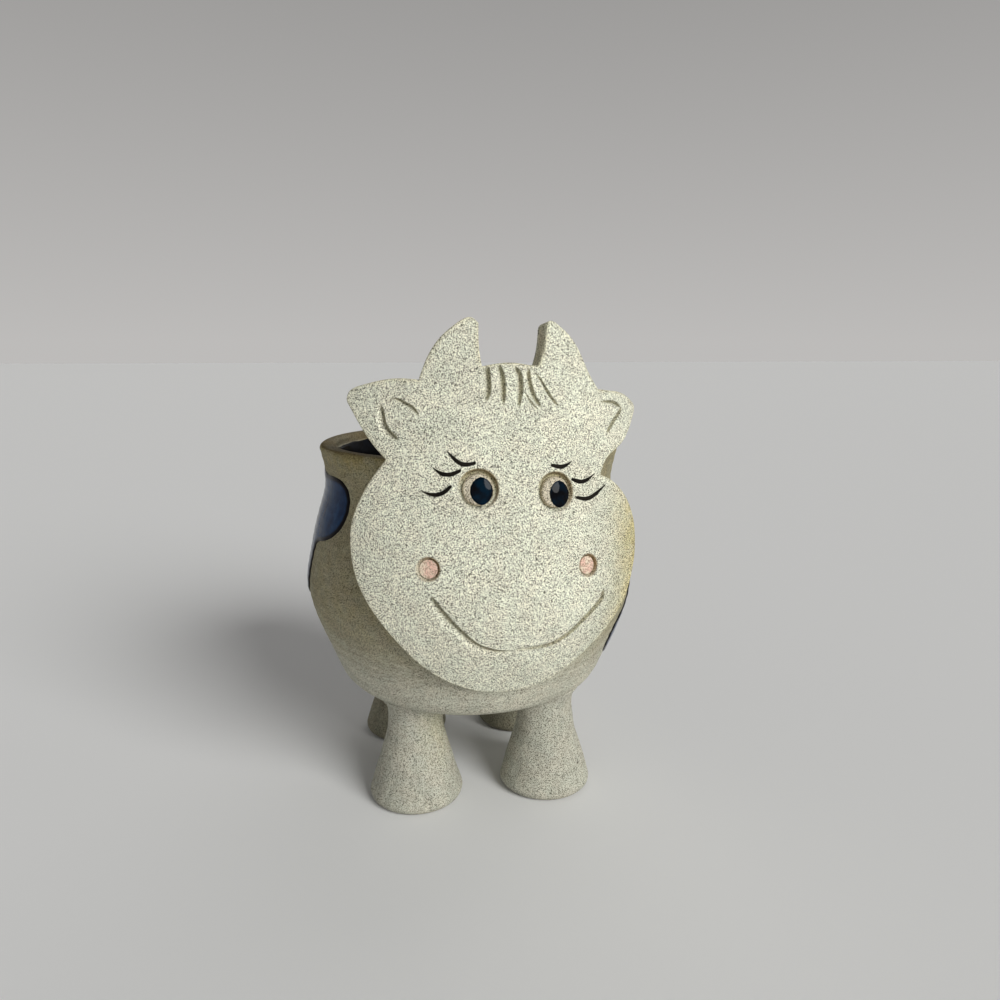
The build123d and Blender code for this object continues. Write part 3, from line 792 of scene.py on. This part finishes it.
def pot_colours(verts, radius, height, outside):
    """Toast and lip brown from firing, painted shade on the lip and upper wall, and a line round the lip.
    """
    corner = np.hypot(radius - rim_radius + lip_round / 2, height - rim_height + lip_round / 8)
    toast, width, size, cover = lip_toast
    lip = toast * bell(corner, 0, width) * smooth(cover + rough(verts, size))
    toast, width, size, cover = rim_toast
    rim = toast * rising(height, (rim_height - width, width)) * smooth(cover + rough(verts, size))
    outer_skin = outside | ((height > rim_height - lip_round) & (radius > rim_radius - lip_round / 2))
    upper = rising(height, (haunch_height, belly_height - haunch_height)) * outer_skin
    on_lip = rising(height, (rim_height - lip_brown_width, lip_brown_fade)) * ~outside
    on_lip *= smooth((rim_radius - lip_round / 3 - radius) / (lip_round / 3))
    line_shade, width, size, cover = lip_line
    patches = rough(verts, size)
    line = bell(corner, 0, width) * smooth(cover + patches)
    uneven_lip = lip_shade * on_lip * (1 + lip_brown_unevenness * patches)
    # Painted shade on the lip and on the upper wall
    shade = np.maximum(lip_shade * on_lip, line_shade * line)
    return {
        "toast": lip + rim + upper_toast * upper,
        "brown": lip_brown * np.maximum(uneven_lip, line),
        "shade": np.maximum(shade, upper_shade * upper),
    }


def build_pot():
    """The thrown pot with its throwing rings, rounded lip, inside, floor and drain hole."""
    outer = curve_through(wall_points(), pot_step).tolist()
    lip_height = rim_height - lip_round
    outer_centre = (rim_radius - lip_round, lip_height)
    inner_centre = (rim_radius - pot_wall + lip_round, lip_height)
    lip = arc(outer_centre, lip_round, 0, 90)
    lip += [(outer_centre[0], rim_height), (inner_centre[0], rim_height)]
    lip += arc(inner_centre, lip_round, 90, 180)
    inner = inner_wall()[::-1].tolist()
    floor = straight(inner[-1], (drain_radius, floor_height), 2 * pot_step)
    drain = straight(floor[-1], (drain_radius, pot_base_height), pot_step)
    under = straight(drain[-1], outer[0], 2 * pot_step)[:-1]
    profile = outer + lip + inner + floor + drain + under
    radius, height, angle, faces = turned_mesh(profile, pot_segments, closed=True)
    outside = np.arange(len(radius)) < len(outer) * pot_segments
    radius[outside] += pot_relief(angle[outside], height[outside])
    lip_zone = ~outside & (height > lip_height)
    radius[lip_zone] += pot_relief(angle[lip_zone], np.full(lip_zone.sum(), lip_height))
    verts = ring_points(radius, angle, height)
    colours = pot_colours(verts, radius, height, outside)
    make_piece("pot", "pot_body", "clay_pot", verts, faces, colours)


def build_liner():
    """The glaze that lines the pot, with a wavering line below the lip."""
    line_height = rim_height - liner_below_lip
    skin = [p for p in inner_wall(liner_thickness)[::-1].tolist() if p[1] < line_height]
    skin += straight(skin[-1], (drain_radius, floor_height + liner_thickness), 2 * pot_step)
    behind = [p for p in inner_wall(-glaze_bite).tolist() if p[1] < line_height]
    drain_edge = (drain_radius, floor_height - glaze_bite)
    floor_behind = straight(drain_edge, behind[0], 2 * pot_step)[:-1]
    profile = skin + [drain_edge] + floor_behind + behind
    radius, height, angle, faces = turned_mesh(profile, pot_segments, closed=True)
    verts = ring_points(radius, angle, height)
    fall = rising(height, (line_height - liner_line_waver_depth, liner_line_waver_depth))
    waver = rough(ring_points(rim_radius, angle, 0 * height), liner_line_waver_size) - 1
    verts[:, 2] += liner_line_waver * fall * waver
    make_piece("liner", "glaze_liner", "liner_glaze", verts, faces, {})


def leg_outline():
    """The leg's profile from the middle of its hollow, round the sole and up the flare to its top."""
    rise = ankle_height - foot_round
    spread = foot_radius - ankle_radius
    flare = [(ankle_radius + out * spread, foot_round + up * rise) for up, out in flare_shares]
    side = [(foot_radius, foot_round), *flare, (ankle_radius, ankle_height),
            (leg_top_radius, leg_top_height)]
    roof = [(hollow_top_radius / 4, hollow_depth)]
    roof += straight(roof[0], (hollow_top_radius, hollow_depth), leg_step * 2)
    hollow = straight(roof[-1], (hollow_radius, hollow_edge), leg_step * 2)
    sole_inner = (hollow_radius + hollow_edge, 0.0)
    sole_outer = (foot_radius - foot_round, 0.0)
    sole = [sole_inner, *straight(sole_inner, sole_outer, leg_step * 2)]
    edge = arc((foot_radius - foot_round, foot_round), foot_round, -90, 0)
    wall = curve_through(side, leg_step).tolist()
    top = straight(wall[-1], (leg_top_radius / 4, leg_top_height), leg_step * 4)
    return roof + hollow + sole + edge + wall + top


def underside(radius):
    """The height of the pot's underside above the floor, at a distance from its axis."""
    below_belly = wall_line[:, 1] < belly_height
    height = np.interp(radius, *wall_line[below_belly].T)
    return np.where(radius < pot_base_radius, pot_base_height, height)


def build_leg(side_name, row_name, seed):
    """A hand-shaped trumpet leg, smoothed onto the pot's underside."""
    across = -1 if side_name == "left" else 1
    along = -1 if row_name == "front" else 1
    centre = np.array([across * leg_spacing_x / 2, along * leg_spacing_y / 2, 0])
    radius, height, angle, faces = turned_mesh(leg_outline()[::-1], leg_segments, closed=False)
    in_hollow = (radius <= hollow_radius) & (height < hollow_depth)
    outer = (radius > leg_top_radius / 2) & (height > 0) & ~in_hollow
    places = ring_points(radius, angle, height)
    uneven = 0
    for size, depth, apart, pace in (leg_swell, leg_stroke):
        uneven = uneven + depth * rough(places * pace + seed * apart, size)
    body = smooth(height / foot_round) * outer
    radius = radius + body * uneven
    verts = ring_points(radius, angle, height) + centre
    gap = underside(np.hypot(verts[:, 0], verts[:, 1])) - verts[:, 2]
    join = leg_join_width * np.exp(-np.clip(gap, 0, None) / leg_join_reach) * body
    verts += ring_points(join, angle, 0 * height)
    poles = np.array([[0, 0, leg_top_height], [0, 0, hollow_depth]]) + centre
    lit = rising(np.cos(angle - leg_toast_bearing), (leg_toast_edge, 1 - leg_toast_edge))
    lit = lit * rising(height, leg_toast_heights)
    toast = leg_toast.get((side_name, row_name), 0) * lit + leg_least_toast
    brown = sole_brown * np.exp(-height / sole_brown_height) * outer
    colours = {
        "toast": np.append(toast, [0, 0]),
        "brown": np.append(brown, [0, 0]),
        "shade": np.full(len(verts) + len(poles), leg_shade[row_name]),
    }
    name = f"leg_{row_name}_{side_name}"
    make_piece(name + "_clay", name, "clay_legs", np.vstack([verts, poles]), faces, colours)


def flat_place(shares):
    """A place on the flat pattern in millimetres, from its shares."""
    across, along = shares
    return (across * face_half_width, along * (horn_rise if along > 0 else chin_drop))


def on_head(flat, depth):
    """Points of the bent head, from places on the flat pattern and depths below the face."""
    across, along = flat.T
    turn = np.clip(-along / chin_bend_radius, 0, None)
    bent = chin_bend_radius - depth
    up = np.where(along > 0, along, -bent * np.sin(turn))
    out = bend_radius - chin_bend_radius + bent * np.cos(turn)
    around = across / bend_radius
    x, y = out * np.sin(around), -out * np.cos(around)
    cos_lean, sin_lean = math.cos(head_lean), math.sin(head_lean)
    y, z = y * cos_lean + up * sin_lean, -y * sin_lean + up * cos_lean
    y = y + bend_radius * cos_lean - belly_radius - face_proud_of_belly
    z = z + belly_height + chin_bend_above_belly - bend_radius * sin_lean
    cos_turn, sin_turn = math.cos(head_turn), math.sin(head_turn)
    return np.stack([x * cos_turn - y * sin_turn, x * sin_turn + y * cos_turn, z], axis=1)


def on_pattern(points_shares, step):
    """A smooth line on the flat pattern through points given as shares."""
    return curve_through([flat_place(s) for s in points_shares], step)


def groove_shape(points, line, wall_width, depth, depth_shares):
    """How deep a groove cuts at each point, and how much of its wall's shade falls there."""
    distance, share, side = near_line(points, line)
    fullness = np.interp(share, *np.array(depth_shares).T)
    reach = wall_width * (groove_narrowest_share + (1 - groove_narrowest_share) * fullness)
    across = distance * side / reach + 0.5
    wall = smooth(1 - across)
    slope = smooth(1 + across / groove_slope_share) ** groove_slope_power
    hollow = np.where(across > 0, wall, slope)
    beyond_end = (share <= 0) | (share >= 1)
    fullness = fullness * np.where(beyond_end, smooth(1 - distance / reach), 1)
    ridge = bell(across * reach, -ridge_place_share * reach, ridge_width) * ~beyond_end
    end, fade = groove_shade_end_shares
    shade = rising(across, groove_shade_start_shares) ** groove_shade_power
    shade = shade * smooth((end - across) / fade) * smooth(groove_shade_gain * fullness)
    return depth * fullness * (hollow - ridge_height_share * ridge), shade


def band_points(line, reach):
    """Rows of points beside a line, close enough together to shape a groove."""
    across = left_of(np.gradient(line, axis=0))
    offsets = np.append(np.arange(-groove_fine_band, groove_fine_band, groove_cross_step),
                        np.arange(-reach, -groove_fine_band, 2 * groove_cross_step))
    return np.vstack([line + across * offset for offset in offsets])


def disc_points(centre, radii):
    """Rings of points round a centre, from one radius to another."""
    rings = []
    for radius in np.arange(*radii, socket_ring_step):
        count = int(2 * math.pi * radius / disc_step)
        turns = 2 * math.pi * np.arange(count) / count
        rings.append(np.stack([centre[0] + radius * np.cos(turns), centre[1] + radius * np.sin(turns)], 1))
    return np.vstack(rings)


def leaning(away, lean):
    """How strong a colour is round a socket, for places by their way from its middle."""
    strength, way, start_and_run = lean
    distance = np.maximum(np.linalg.norm(away, axis=1), 1)
    return strength * rising(away @ np.array(way) / distance, start_and_run)


def on_cheek(flat, cheek):
    """How strong a colour is on the right cheek."""
    strength, across, (top, run) = cheek
    return strength * rising(flat[:, 0], across) * smooth((top - flat[:, 1]) / run)


def press_on_pot(verts, bite):
    """Keep points from going deeper into the pot's wall than a bite."""
    radius = np.hypot(verts[:, 0], verts[:, 1])
    within = (verts[:, 2] > pot_base_height) & (verts[:, 2] < rim_height - lip_round)
    least = np.where(within, pot_radius(verts[:, 2]) - bite, 0)
    grow = np.maximum(least / np.maximum(radius, 1), 1)
    return verts * np.stack([grow, grow, np.ones(len(grow))], axis=1)


def cut_face(flat, lines, eyes, nostrils):
    """How deep grooves and sockets cut into the face at each point, and the painted shade they get."""
    depth, toast, brown, shade = (np.zeros(len(flat)) for _ in range(4))
    for line, (_, wall_width, deep, depth_shares) in zip(lines, grooves):
        cut, dark = groove_shape(flat, line, wall_width, deep, depth_shares)
        depth += cut
        shade = np.maximum(shade, groove_shade * dark)
    for away in eyes:
        distance = np.linalg.norm(away, axis=1)
        depth += eye_socket_depth * smooth((eye_radius + eye_ring_spread - distance) / (2 * eye_ring_slope))
        # Painted shade on the socket wall, tinted ochre, brown and grey, strongest on its upper and right
        # side
        band = bell(distance, eye_radius - eye_band[0], eye_band[1], band_power)
        line = bell(distance, eye_radius - eye_line[0], eye_line[1])
        toast = np.maximum(toast, band * leaning(away, eye_shade_ochre_lean))
        brown = np.maximum(brown, line * leaning(away, eye_shade_brown_lean))
        shade = np.maximum(shade, band * leaning(away, eye_shade_lean))
    for away in nostrils:
        distance = np.linalg.norm(away, axis=1)
        depth += nostril_depth * smooth((nostril_radius + nostril_spread - distance) / (2 * nostril_slope))
        # Painted shade on the nostril's wall, in brown, strongest on its right side
        ring = bell(distance, nostril_radius - nostril_band[0], nostril_band[1], band_power)
        lean = away @ np.array(nostril_shade_brown_lean) / np.maximum(distance, 1)
        brown = np.maximum(brown, ring * (nostril_shade_brown + lean))
    return depth, toast, brown, shade


def build_head():
    """The slab of the face: rounded edges, sockets, nostrils and drawn grooves."""
    outline = closed_outline(head_outline_shares, head_line_step)
    lines = [on_pattern(groove[0], groove_step) for groove in grooves]
    eyes = [np.array(flat_place(eye_shares[side])) for side in sides]
    nostrils = [np.array(flat_place(nostril_shares[side])) for side in sides]
    details = [disc_points(centre, eye_detail_radii) for centre in eyes]
    details += [disc_points(centre, nostril_detail_radii) for centre in nostrils]
    details += [band_points(line, groove_band) for line in lines]
    flat, triangles, border, edge = flat_mesh(outline, front_round, details, head_lattice)
    cut, toast, brown, shade = cut_face(flat, lines, [flat - c for c in eyes], [flat - c for c in nostrils])
    swell = head_swell_depth * (1 - rough(flat, head_swell_size)) * smooth(edge / head_swell_margin)
    front = on_head(flat, edge_drop(edge, front_round) + cut + swell)
    back = press_on_pot(on_head(flat, slab_thickness - edge_drop(edge, back_round)), press_in)
    verts, faces = closed_slab(front, back, triangles, border, head_wall_rows)
    count = len(flat)
    verts[2 * count:] = press_on_pot(verts[2 * count:], press_in)
    wall = np.ones(len(verts) - 2 * count)
    toast = toast + head_edge_toast * bell(edge, 0, head_edge_toast_width) + on_cheek(flat, cheek_toast)
    shade = np.maximum(shade, on_cheek(flat, cheek_shade))
    back_toast = np.full(count, head_back_toast)
    colours = {
        "toast": np.concatenate([np.clip(toast, 0, 1), back_toast, head_wall_toast * wall]),
        "brown": np.concatenate([brown, np.zeros(count), head_wall_brown * wall]),
        "shade": np.concatenate([shade, np.zeros(count), 0 * wall]),
    }
    make_piece("head", "head_slab", "clay_head", verts, faces, colours)


def build_disc(name, kind, side, slot_name, outline, edge_colours):
    """A small slab on the face, domed or dished. Edge colours are how strong and how wide they are."""
    top, bottom, edge_round, dome, spacing = discs[kind]
    flat, triangles, border, edge = flat_mesh(outline, edge_round, [], spacing)
    middle, reach = (outline.max(0) + outline.min(0)) / 2, (outline.max(0) - outline.min(0)) / 2
    lift = dome * np.clip(1 - (((flat - middle) / reach) ** 2).sum(1), 0, 1)
    front = on_head(flat, top + edge_drop(edge, edge_round) - lift)
    verts, faces = closed_slab(front, on_head(flat, bottom), triangles, border)
    colours = {
        colour: over_slab(strength * bell(edge, 0, width), border)
        for colour, (strength, width) in edge_colours.items()
    }
    make_piece(name, f"{kind}_{side}", slot_name, verts, faces, colours)


def oval(centre, half_width, half_height, pinch=1.0):
    """A closed oval. A pinch above 1 draws it in towards a lozenge."""
    count = int(2 * math.pi * half_height / oval_step)
    turn = 2 * math.pi * np.arange(count) / count
    c, s = np.cos(turn), np.sin(turn)
    across = np.sign(c) * np.abs(c) ** pinch
    along = np.sign(s) * np.abs(s) ** pinch
    return np.stack([centre[0] + across * half_width, centre[1] + along * half_height], axis=1)


def build_eye(side):
    """The clay disc of an eye and the bead of glaze on it."""
    x, y = flat_place(eye_shares[side])
    outline = oval((x, y), eye_disc_radius, eye_disc_radius)
    build_disc(f"eye_{side}", "eye_disc", side, "clay_eyes", outline, eye_disc_edge)
    across, up = pupil_offset_shares[side]
    middle = (x + across * eye_disc_radius, y + up * eye_disc_radius)
    outline = oval(middle, pupil_half_width + pupil_swell, pupil_half_height + pupil_swell, pupil_pinch)
    build_disc(f"pupil_{side}_bead", "pupil", side, "black_glaze", outline, {})


def build_nostril(side):
    """The pink disc at the bottom of a nostril."""
    outline = oval(flat_place(nostril_shares[side]), nostril_disc_radius, nostril_disc_radius)
    build_disc(f"nostril_{side}", "nostril_glaze", side, "pink_glaze", outline, {})


def lash_outline(points_shares):
    """A brush stroke that starts as a fine tip and ends full and round."""
    line = on_pattern(points_shares, lash_line_step)
    half = lash_half_width * np.interp(np.linspace(0, 1, len(line)), *np.array(lash_width_shares).T)
    ahead = np.gradient(line, axis=0)
    across = left_of(ahead) * half[:, None]
    end = math.atan2(ahead[-1, 1], ahead[-1, 0])
    turns = np.linspace(end - math.pi / 2, end + math.pi / 2, lash_end_turns)[1:-1]
    cap = [line[-1] + half[-1] * np.array([math.cos(t), math.sin(t)]) for t in turns]
    return counterclockwise(np.vstack([line - across, cap, (line + across)[::-1]]))


def build_lashes(side):
    """Three brush strokes beside an eye."""
    all_verts, all_faces, total = [], [], 0
    for points_shares in lash_shares[side]:
        outline = lash_outline(points_shares)
        flat, triangles, border, edge = flat_mesh(outline, lash_half_width / 2, [], lash_lattice)
        rise = lash_thickness * smooth(2 * edge / lash_half_width)
        front, back = on_head(flat, -lash_lift - rise), on_head(flat, lash_root)
        verts, faces = closed_slab(front, back, triangles, border)
        all_verts.append(verts)
        all_faces += [tuple(i + total for i in f) for f in faces]
        total += len(verts)
    make_piece(f"lashes_{side}", f"eyelashes_{side}", "lash_black", np.vstack(all_verts), all_faces, {})


def build_patch(name):
    """A patch of thick glaze that swells up from its edge."""
    bearing_share, middle_share, half_height_share, outline_shares = patch_shares[name]
    middle, half_height = pot_base_height + middle_share * wall_rise, half_height_share * wall_rise
    points = [(a * patch_half_width[name], middle + b * half_height) for a, b in outline_shares]
    outline = counterclockwise(curve_through(points, patch_line_step, closed=True))
    flat, triangles, border, edge = flat_mesh(outline, patch_edge_width, [], patch_lattice)
    round_up = np.sqrt(1 - np.clip(1 - edge / patch_edge_width, 0, 1) ** 2)
    swell = 1 - patch_swell_share * (1 - rough(flat, patch_swell_size))
    thickness = patch_thickness * round_up * swell
    verts, faces = slab_on_pot(flat, triangles, border, 2 * math.pi * bearing_share, thickness)
    thin = over_slab(bell(edge, 0, patch_thin_width), border)
    make_piece(f"patch_{name}", f"glaze_patch_{name}", "blue_glaze", verts, faces, {"thin": thin})


def ribbon(path):
    """The outline of a ribbon along (across, along, half width)."""
    line, half = path[:, :2], path[:, 2:]
    across = left_of(np.gradient(line, axis=0)) * half
    return counterclockwise(np.vstack([line - across, (line + across)[::-1]]))


def build_tail():
    """A rolled strip of clay on the back, with a combed tuft."""
    foot = pot_base_height + tail_foot_share * wall_rise
    length = (tail_top_share - tail_foot_share) * wall_rise

    def place(across, up):
        return (across * tuft_half_width, foot + up * length)

    path = [(*place(a, b), half * tuft_half_width) for a, b, half in tail_path_shares]
    outline = ribbon(curve_through(path, tail_line_step))
    lines = [curve_through([place(*p) for p in shares], groove_step) for shares in tuft_strokes_shares]
    details = [band_points(line, tuft_groove_band) for line in lines]
    flat, triangles, border, edge = flat_mesh(outline, tail_round, details, tail_lattice)
    raised = tail_thickness - edge_drop(edge, tail_round)
    shade = np.zeros(len(flat))
    for line in lines:
        cut, dark = groove_shape(flat, line, tuft_groove_width, tuft_groove_depth, fringe_depth_shares)
        raised -= cut
        shade = np.maximum(shade, groove_shade * dark)
    swell = tail_swell_depth * (rough(flat, tail_swell_size) - 1)
    raised = np.maximum(raised + swell * smooth(edge / tail_swell_margin), tail_least_thickness)
    verts, faces = slab_on_pot(flat, triangles, border, tail_bearing, raised, tail_wall_rows)
    colours = {
        "toast": np.full(len(verts), tail_toast),
        "shade": np.append(shade, np.zeros(len(verts) - len(flat))),
    }
    make_piece("tail_clay", "tail", "clay_tail", verts, faces, colours)


class Nodes:
    """Shorthand for building the nodes of a material or of the studio."""

    def __init__(self, owner):
        owner.use_nodes = True
        self.owner = owner
        self.tree = owner.node_tree
        self.places = self.add("ShaderNodeTexCoord").outputs

    def feed(self, socket, value):
        """Link an output to an input, or give the input a value of its own."""
        if isinstance(value, bpy.types.NodeSocket):
            self.tree.links.new(value, socket)
        else:
            socket.default_value = (*value, 1) if socket.type == "RGBA" else value

    def feed_all(self, node, inputs):
        """Feed a node by the names of its inputs, with underscores for their spaces."""
        for key, value in inputs.items():
            self.feed(node.inputs[key.replace("_", " ")], value)
        return node

    def add(self, kind, settings=None, **inputs):
        node = self.tree.nodes.new(kind)
        for key, value in (settings or {}).items():
            setattr(node, key, value)
        return self.feed_all(node, inputs)

    def noise(self, values, place=None):
        size, detail, roughness = values
        return self.add("ShaderNodeTexNoise", Vector=place or self.places["Object"], Detail=detail,
                        Scale=1 / (size * MM), Roughness=roughness).outputs["Fac"]

    def ramp(self, value, numbers, kind="SMOOTHSTEP"):
        start, end, to_start, to_end = numbers if len(numbers) == 4 else (*numbers, 0, 1)
        return self.add("ShaderNodeMapRange", {"interpolation_type": kind}, Value=value, From_Min=start,
                        From_Max=end, To_Min=to_start, To_Max=to_end).outputs["Result"]

    def pattern(self, name, place=None):
        return self.ramp(self.noise(noises[name], place), ramps[name])

    def product(self, kind, a, b):
        node = self.add(kind, {"operation": "MULTIPLY"})
        self.feed(node.inputs[0], a)
        self.feed(node.inputs[1], b)
        return node.outputs[0]

    def times(self, a, b):
        return self.product("ShaderNodeMath", a, b)

    def stretched(self, shares):
        return self.product("ShaderNodeVectorMath", self.places["Object"], shares)

    def mix(self, share, a, b, blend="MIX"):
        node = self.add("ShaderNodeMix", {"data_type": "RGBA", "blend_type": blend})
        for i, value in ((0, share), (6, a), (7, b)):
            self.feed(node.inputs[i], value)
        return node.outputs[2]

    def tinted(self, colour, tint):
        return self.mix(1.0, colour, tint, "MULTIPLY")

    def attribute(self, name):
        return self.add("ShaderNodeAttribute", {"attribute_name": name}).outputs["Fac"]

    def bump(self, height, name, **below):
        depth, strength = bumps[name]
        node = self.add("ShaderNodeBump", Height=height, Distance=depth * MM, Strength=strength, **below)
        return node.outputs["Normal"]

    def finish(self, shader="Principled BSDF", **inputs):
        self.feed_all(self.tree.nodes[shader], inputs)
        return self.owner


def new_material(name):
    return Nodes(bpy.data.materials.new(name))


def clay(kind):
    """Bare speckled stoneware: dense fine grains, a few iron spots, toasted edges, brown, painted shade, a
    dry surface.
    """
    pale, dark, streak_stretch = clays[kind]
    n = new_material("clay_" + kind)
    grain, clouds = n.noise(noises["grain"]), n.noise(noises["cloud"])
    colour = n.mix(n.ramp(grain, ramps["grain"]), dark, pale)
    colour = n.mix(n.pattern("pepper"), colour, [pepper_share * c for c in dark])
    colour = n.tinted(colour, n.mix(n.pattern("tint"), warm_tint, cool_tint))
    colour = n.tinted(colour, n.ramp(clouds, ramps["cloud"]))
    colour = n.tinted(colour, n.pattern("streak", n.stretched(streak_stretch)))
    spots = n.add("ShaderNodeTexVoronoi", Vector=n.places["Object"],
                  Scale=1 / (iron_spot_spacing * MM)).outputs
    chance = n.add("ShaderNodeSeparateColor", Color=spots["Color"]).outputs["Red"]
    spot = n.times(n.ramp(spots["Distance"], ramps["spot"]), n.ramp(chance, ramps["chosen"]))
    colour = n.mix(spot, colour, iron_colour)
    # The shade tint, and part of the brown, is painted shade
    for name, tint in fired_and_painted_shade_tints.items():
        share = n.attribute(name)
        if name == "toast":
            share = n.times(share, n.pattern("toast"))
        colour = n.mix(share, colour, n.tinted(colour, tint))
    fine = n.bump(n.noise(noises["fine"]), "fine")
    return n.finish(Base_Color=colour, Roughness=n.ramp(clouds, ramps["dryness"]),
                    Normal=n.bump(grain, "grain", Normal=fine), Specular_IOR_Level=clay_shine)


def blue_glaze():
    """Thick glossy glaze: deep blue with paler runs and flecks, and nearly black where it is thin."""
    n = new_material("blue_glaze")
    colour = n.mix(n.pattern("pool"), blue_deep, blue_pooled)
    runs = n.pattern("run", n.stretched(blue_run_stretch))
    colour = n.mix(n.times(runs, blue_run_strength), colour, blue_run)
    colour = n.mix(n.times(n.pattern("fleck"), blue_fleck_strength), colour, blue_fleck)
    colour = n.mix(n.ramp(n.attribute("thin"), ramps["thin"]), colour, blue_thin)
    normal = n.bump(n.noise(noises["blue"]), "blue")
    return n.finish(Base_Color=colour, Roughness=blue_roughness, Normal=normal,
                    Specular_IOR_Level=blue_shine)


def dark_glaze(name):
    """Near-black glaze with a faint change of tone and a softly rippled surface."""
    deep, pooled, roughness, shine, ripple_size = dark_glazes[name]
    n = new_material(name)
    colour = n.mix(n.pattern("tone"), deep, pooled)
    normal = n.bump(n.noise((ripple_size, *dark_ripple_detail)), "dark")
    return n.finish(Base_Color=colour, Roughness=roughness, Normal=normal, Specular_IOR_Level=shine)


def pink_glaze():
    """Soft pink underglaze that lets the clay's grain show through."""
    n = new_material("pink_glaze")
    grain = n.noise(noises["pink"])
    colour = n.mix(n.pattern("wash"), pink_deep, pink_pale)
    colour = n.mix(n.ramp(grain, ramps["pink"]), pink_speck, colour)
    return n.finish(Base_Color=colour, Roughness=pink_roughness, Normal=n.bump(grain, "pink"))


def build_stage():
    """One plain pale floor."""
    corners = floor_reach * np.array([(-1, -1, 0), (1, -1, 0), (1, 1, 0), (-1, 1, 0)]) * MM
    mesh = bpy.data.meshes.new("floor")
    mesh.from_pydata(corners.tolist(), [], [range(len(corners))])
    plain = new_material("floor")
    mesh.materials.append(plain.finish(Base_Color=floor_colour, Roughness=1.0, Specular_IOR_Level=0.0))
    add_object("floor", mesh)


def add_sun(name, azimuth, elevation, strength, spread, colour):
    """Soft light from a bearing, turning from the face towards +X, and a height, in degrees."""
    lamp = bpy.data.lights.new(name, "SUN")
    lamp.energy = strength
    lamp.angle = math.radians(spread)
    lamp.color = colour
    bearing, height = math.radians(azimuth), math.radians(elevation)
    ray = Vector((-math.sin(bearing) * math.cos(height), math.cos(bearing) * math.cos(height),
                  -math.sin(height)))
    add_object(name, lamp).rotation_euler = ray.to_track_quat("-Z", "Y").to_euler()


def build_lights():
    """A soft key light from the front right, a fainter one from behind, and a glow that fades up."""
    add_sun("key", *key_light)
    add_sun("back", *back_light)
    n = Nodes(bpy.data.worlds.new("studio"))
    up = n.add("ShaderNodeSeparateXYZ", Vector=n.places["Generated"]).outputs["Z"]
    strength = n.ramp(up, studio_glow, "LINEAR")
    bpy.context.scene.world = n.finish("Background", Color=studio_colour, Strength=strength)


def build_camera():
    """The camera that took the photograph."""
    camera = bpy.data.cameras.new("camera")
    camera.sensor_width = sensor_width
    camera.lens = camera_focal_pixels / picture_pixels * sensor_width
    camera.shift_y = (camera_centre_row - picture_pixels / 2) / picture_pixels
    camera.clip_start = camera_near * MM
    view = add_object("camera", camera)
    place, target = Vector(camera_place), Vector(camera_target)
    view.location = place * MM
    aim = (target - place).to_track_quat("-Z", "Y")
    view.rotation_euler = (aim @ Euler((0, 0, camera_roll)).to_quaternion()).to_euler()
    bpy.context.scene.camera = view


build_camera()
build_lights()
build_stage()

# Every material by the slot it is for. The tail is of the legs' clay.
materials = {"clay_" + kind: clay(kind) for kind in clays}
materials["clay_tail"] = materials["clay_legs"]
materials |= {name: dark_glaze(name) for name in dark_glazes}
materials |= {"blue_glaze": blue_glaze(), "pink_glaze": pink_glaze()}

build_pot()
build_liner()
build_head()
build_tail()
legs = [(side_name, row_name) for row_name in ("front", "rear") for side_name in sides]
for seed, (side_name, row_name) in enumerate(legs):
    build_leg(side_name, row_name, seed)
for side_name in sides:
    build_eye(side_name)
    build_nostril(side_name)
    build_lashes(side_name)
for patch_name in patch_shares:
    build_patch(patch_name)

bpy.context.scene.view_settings.view_transform = "Standard"
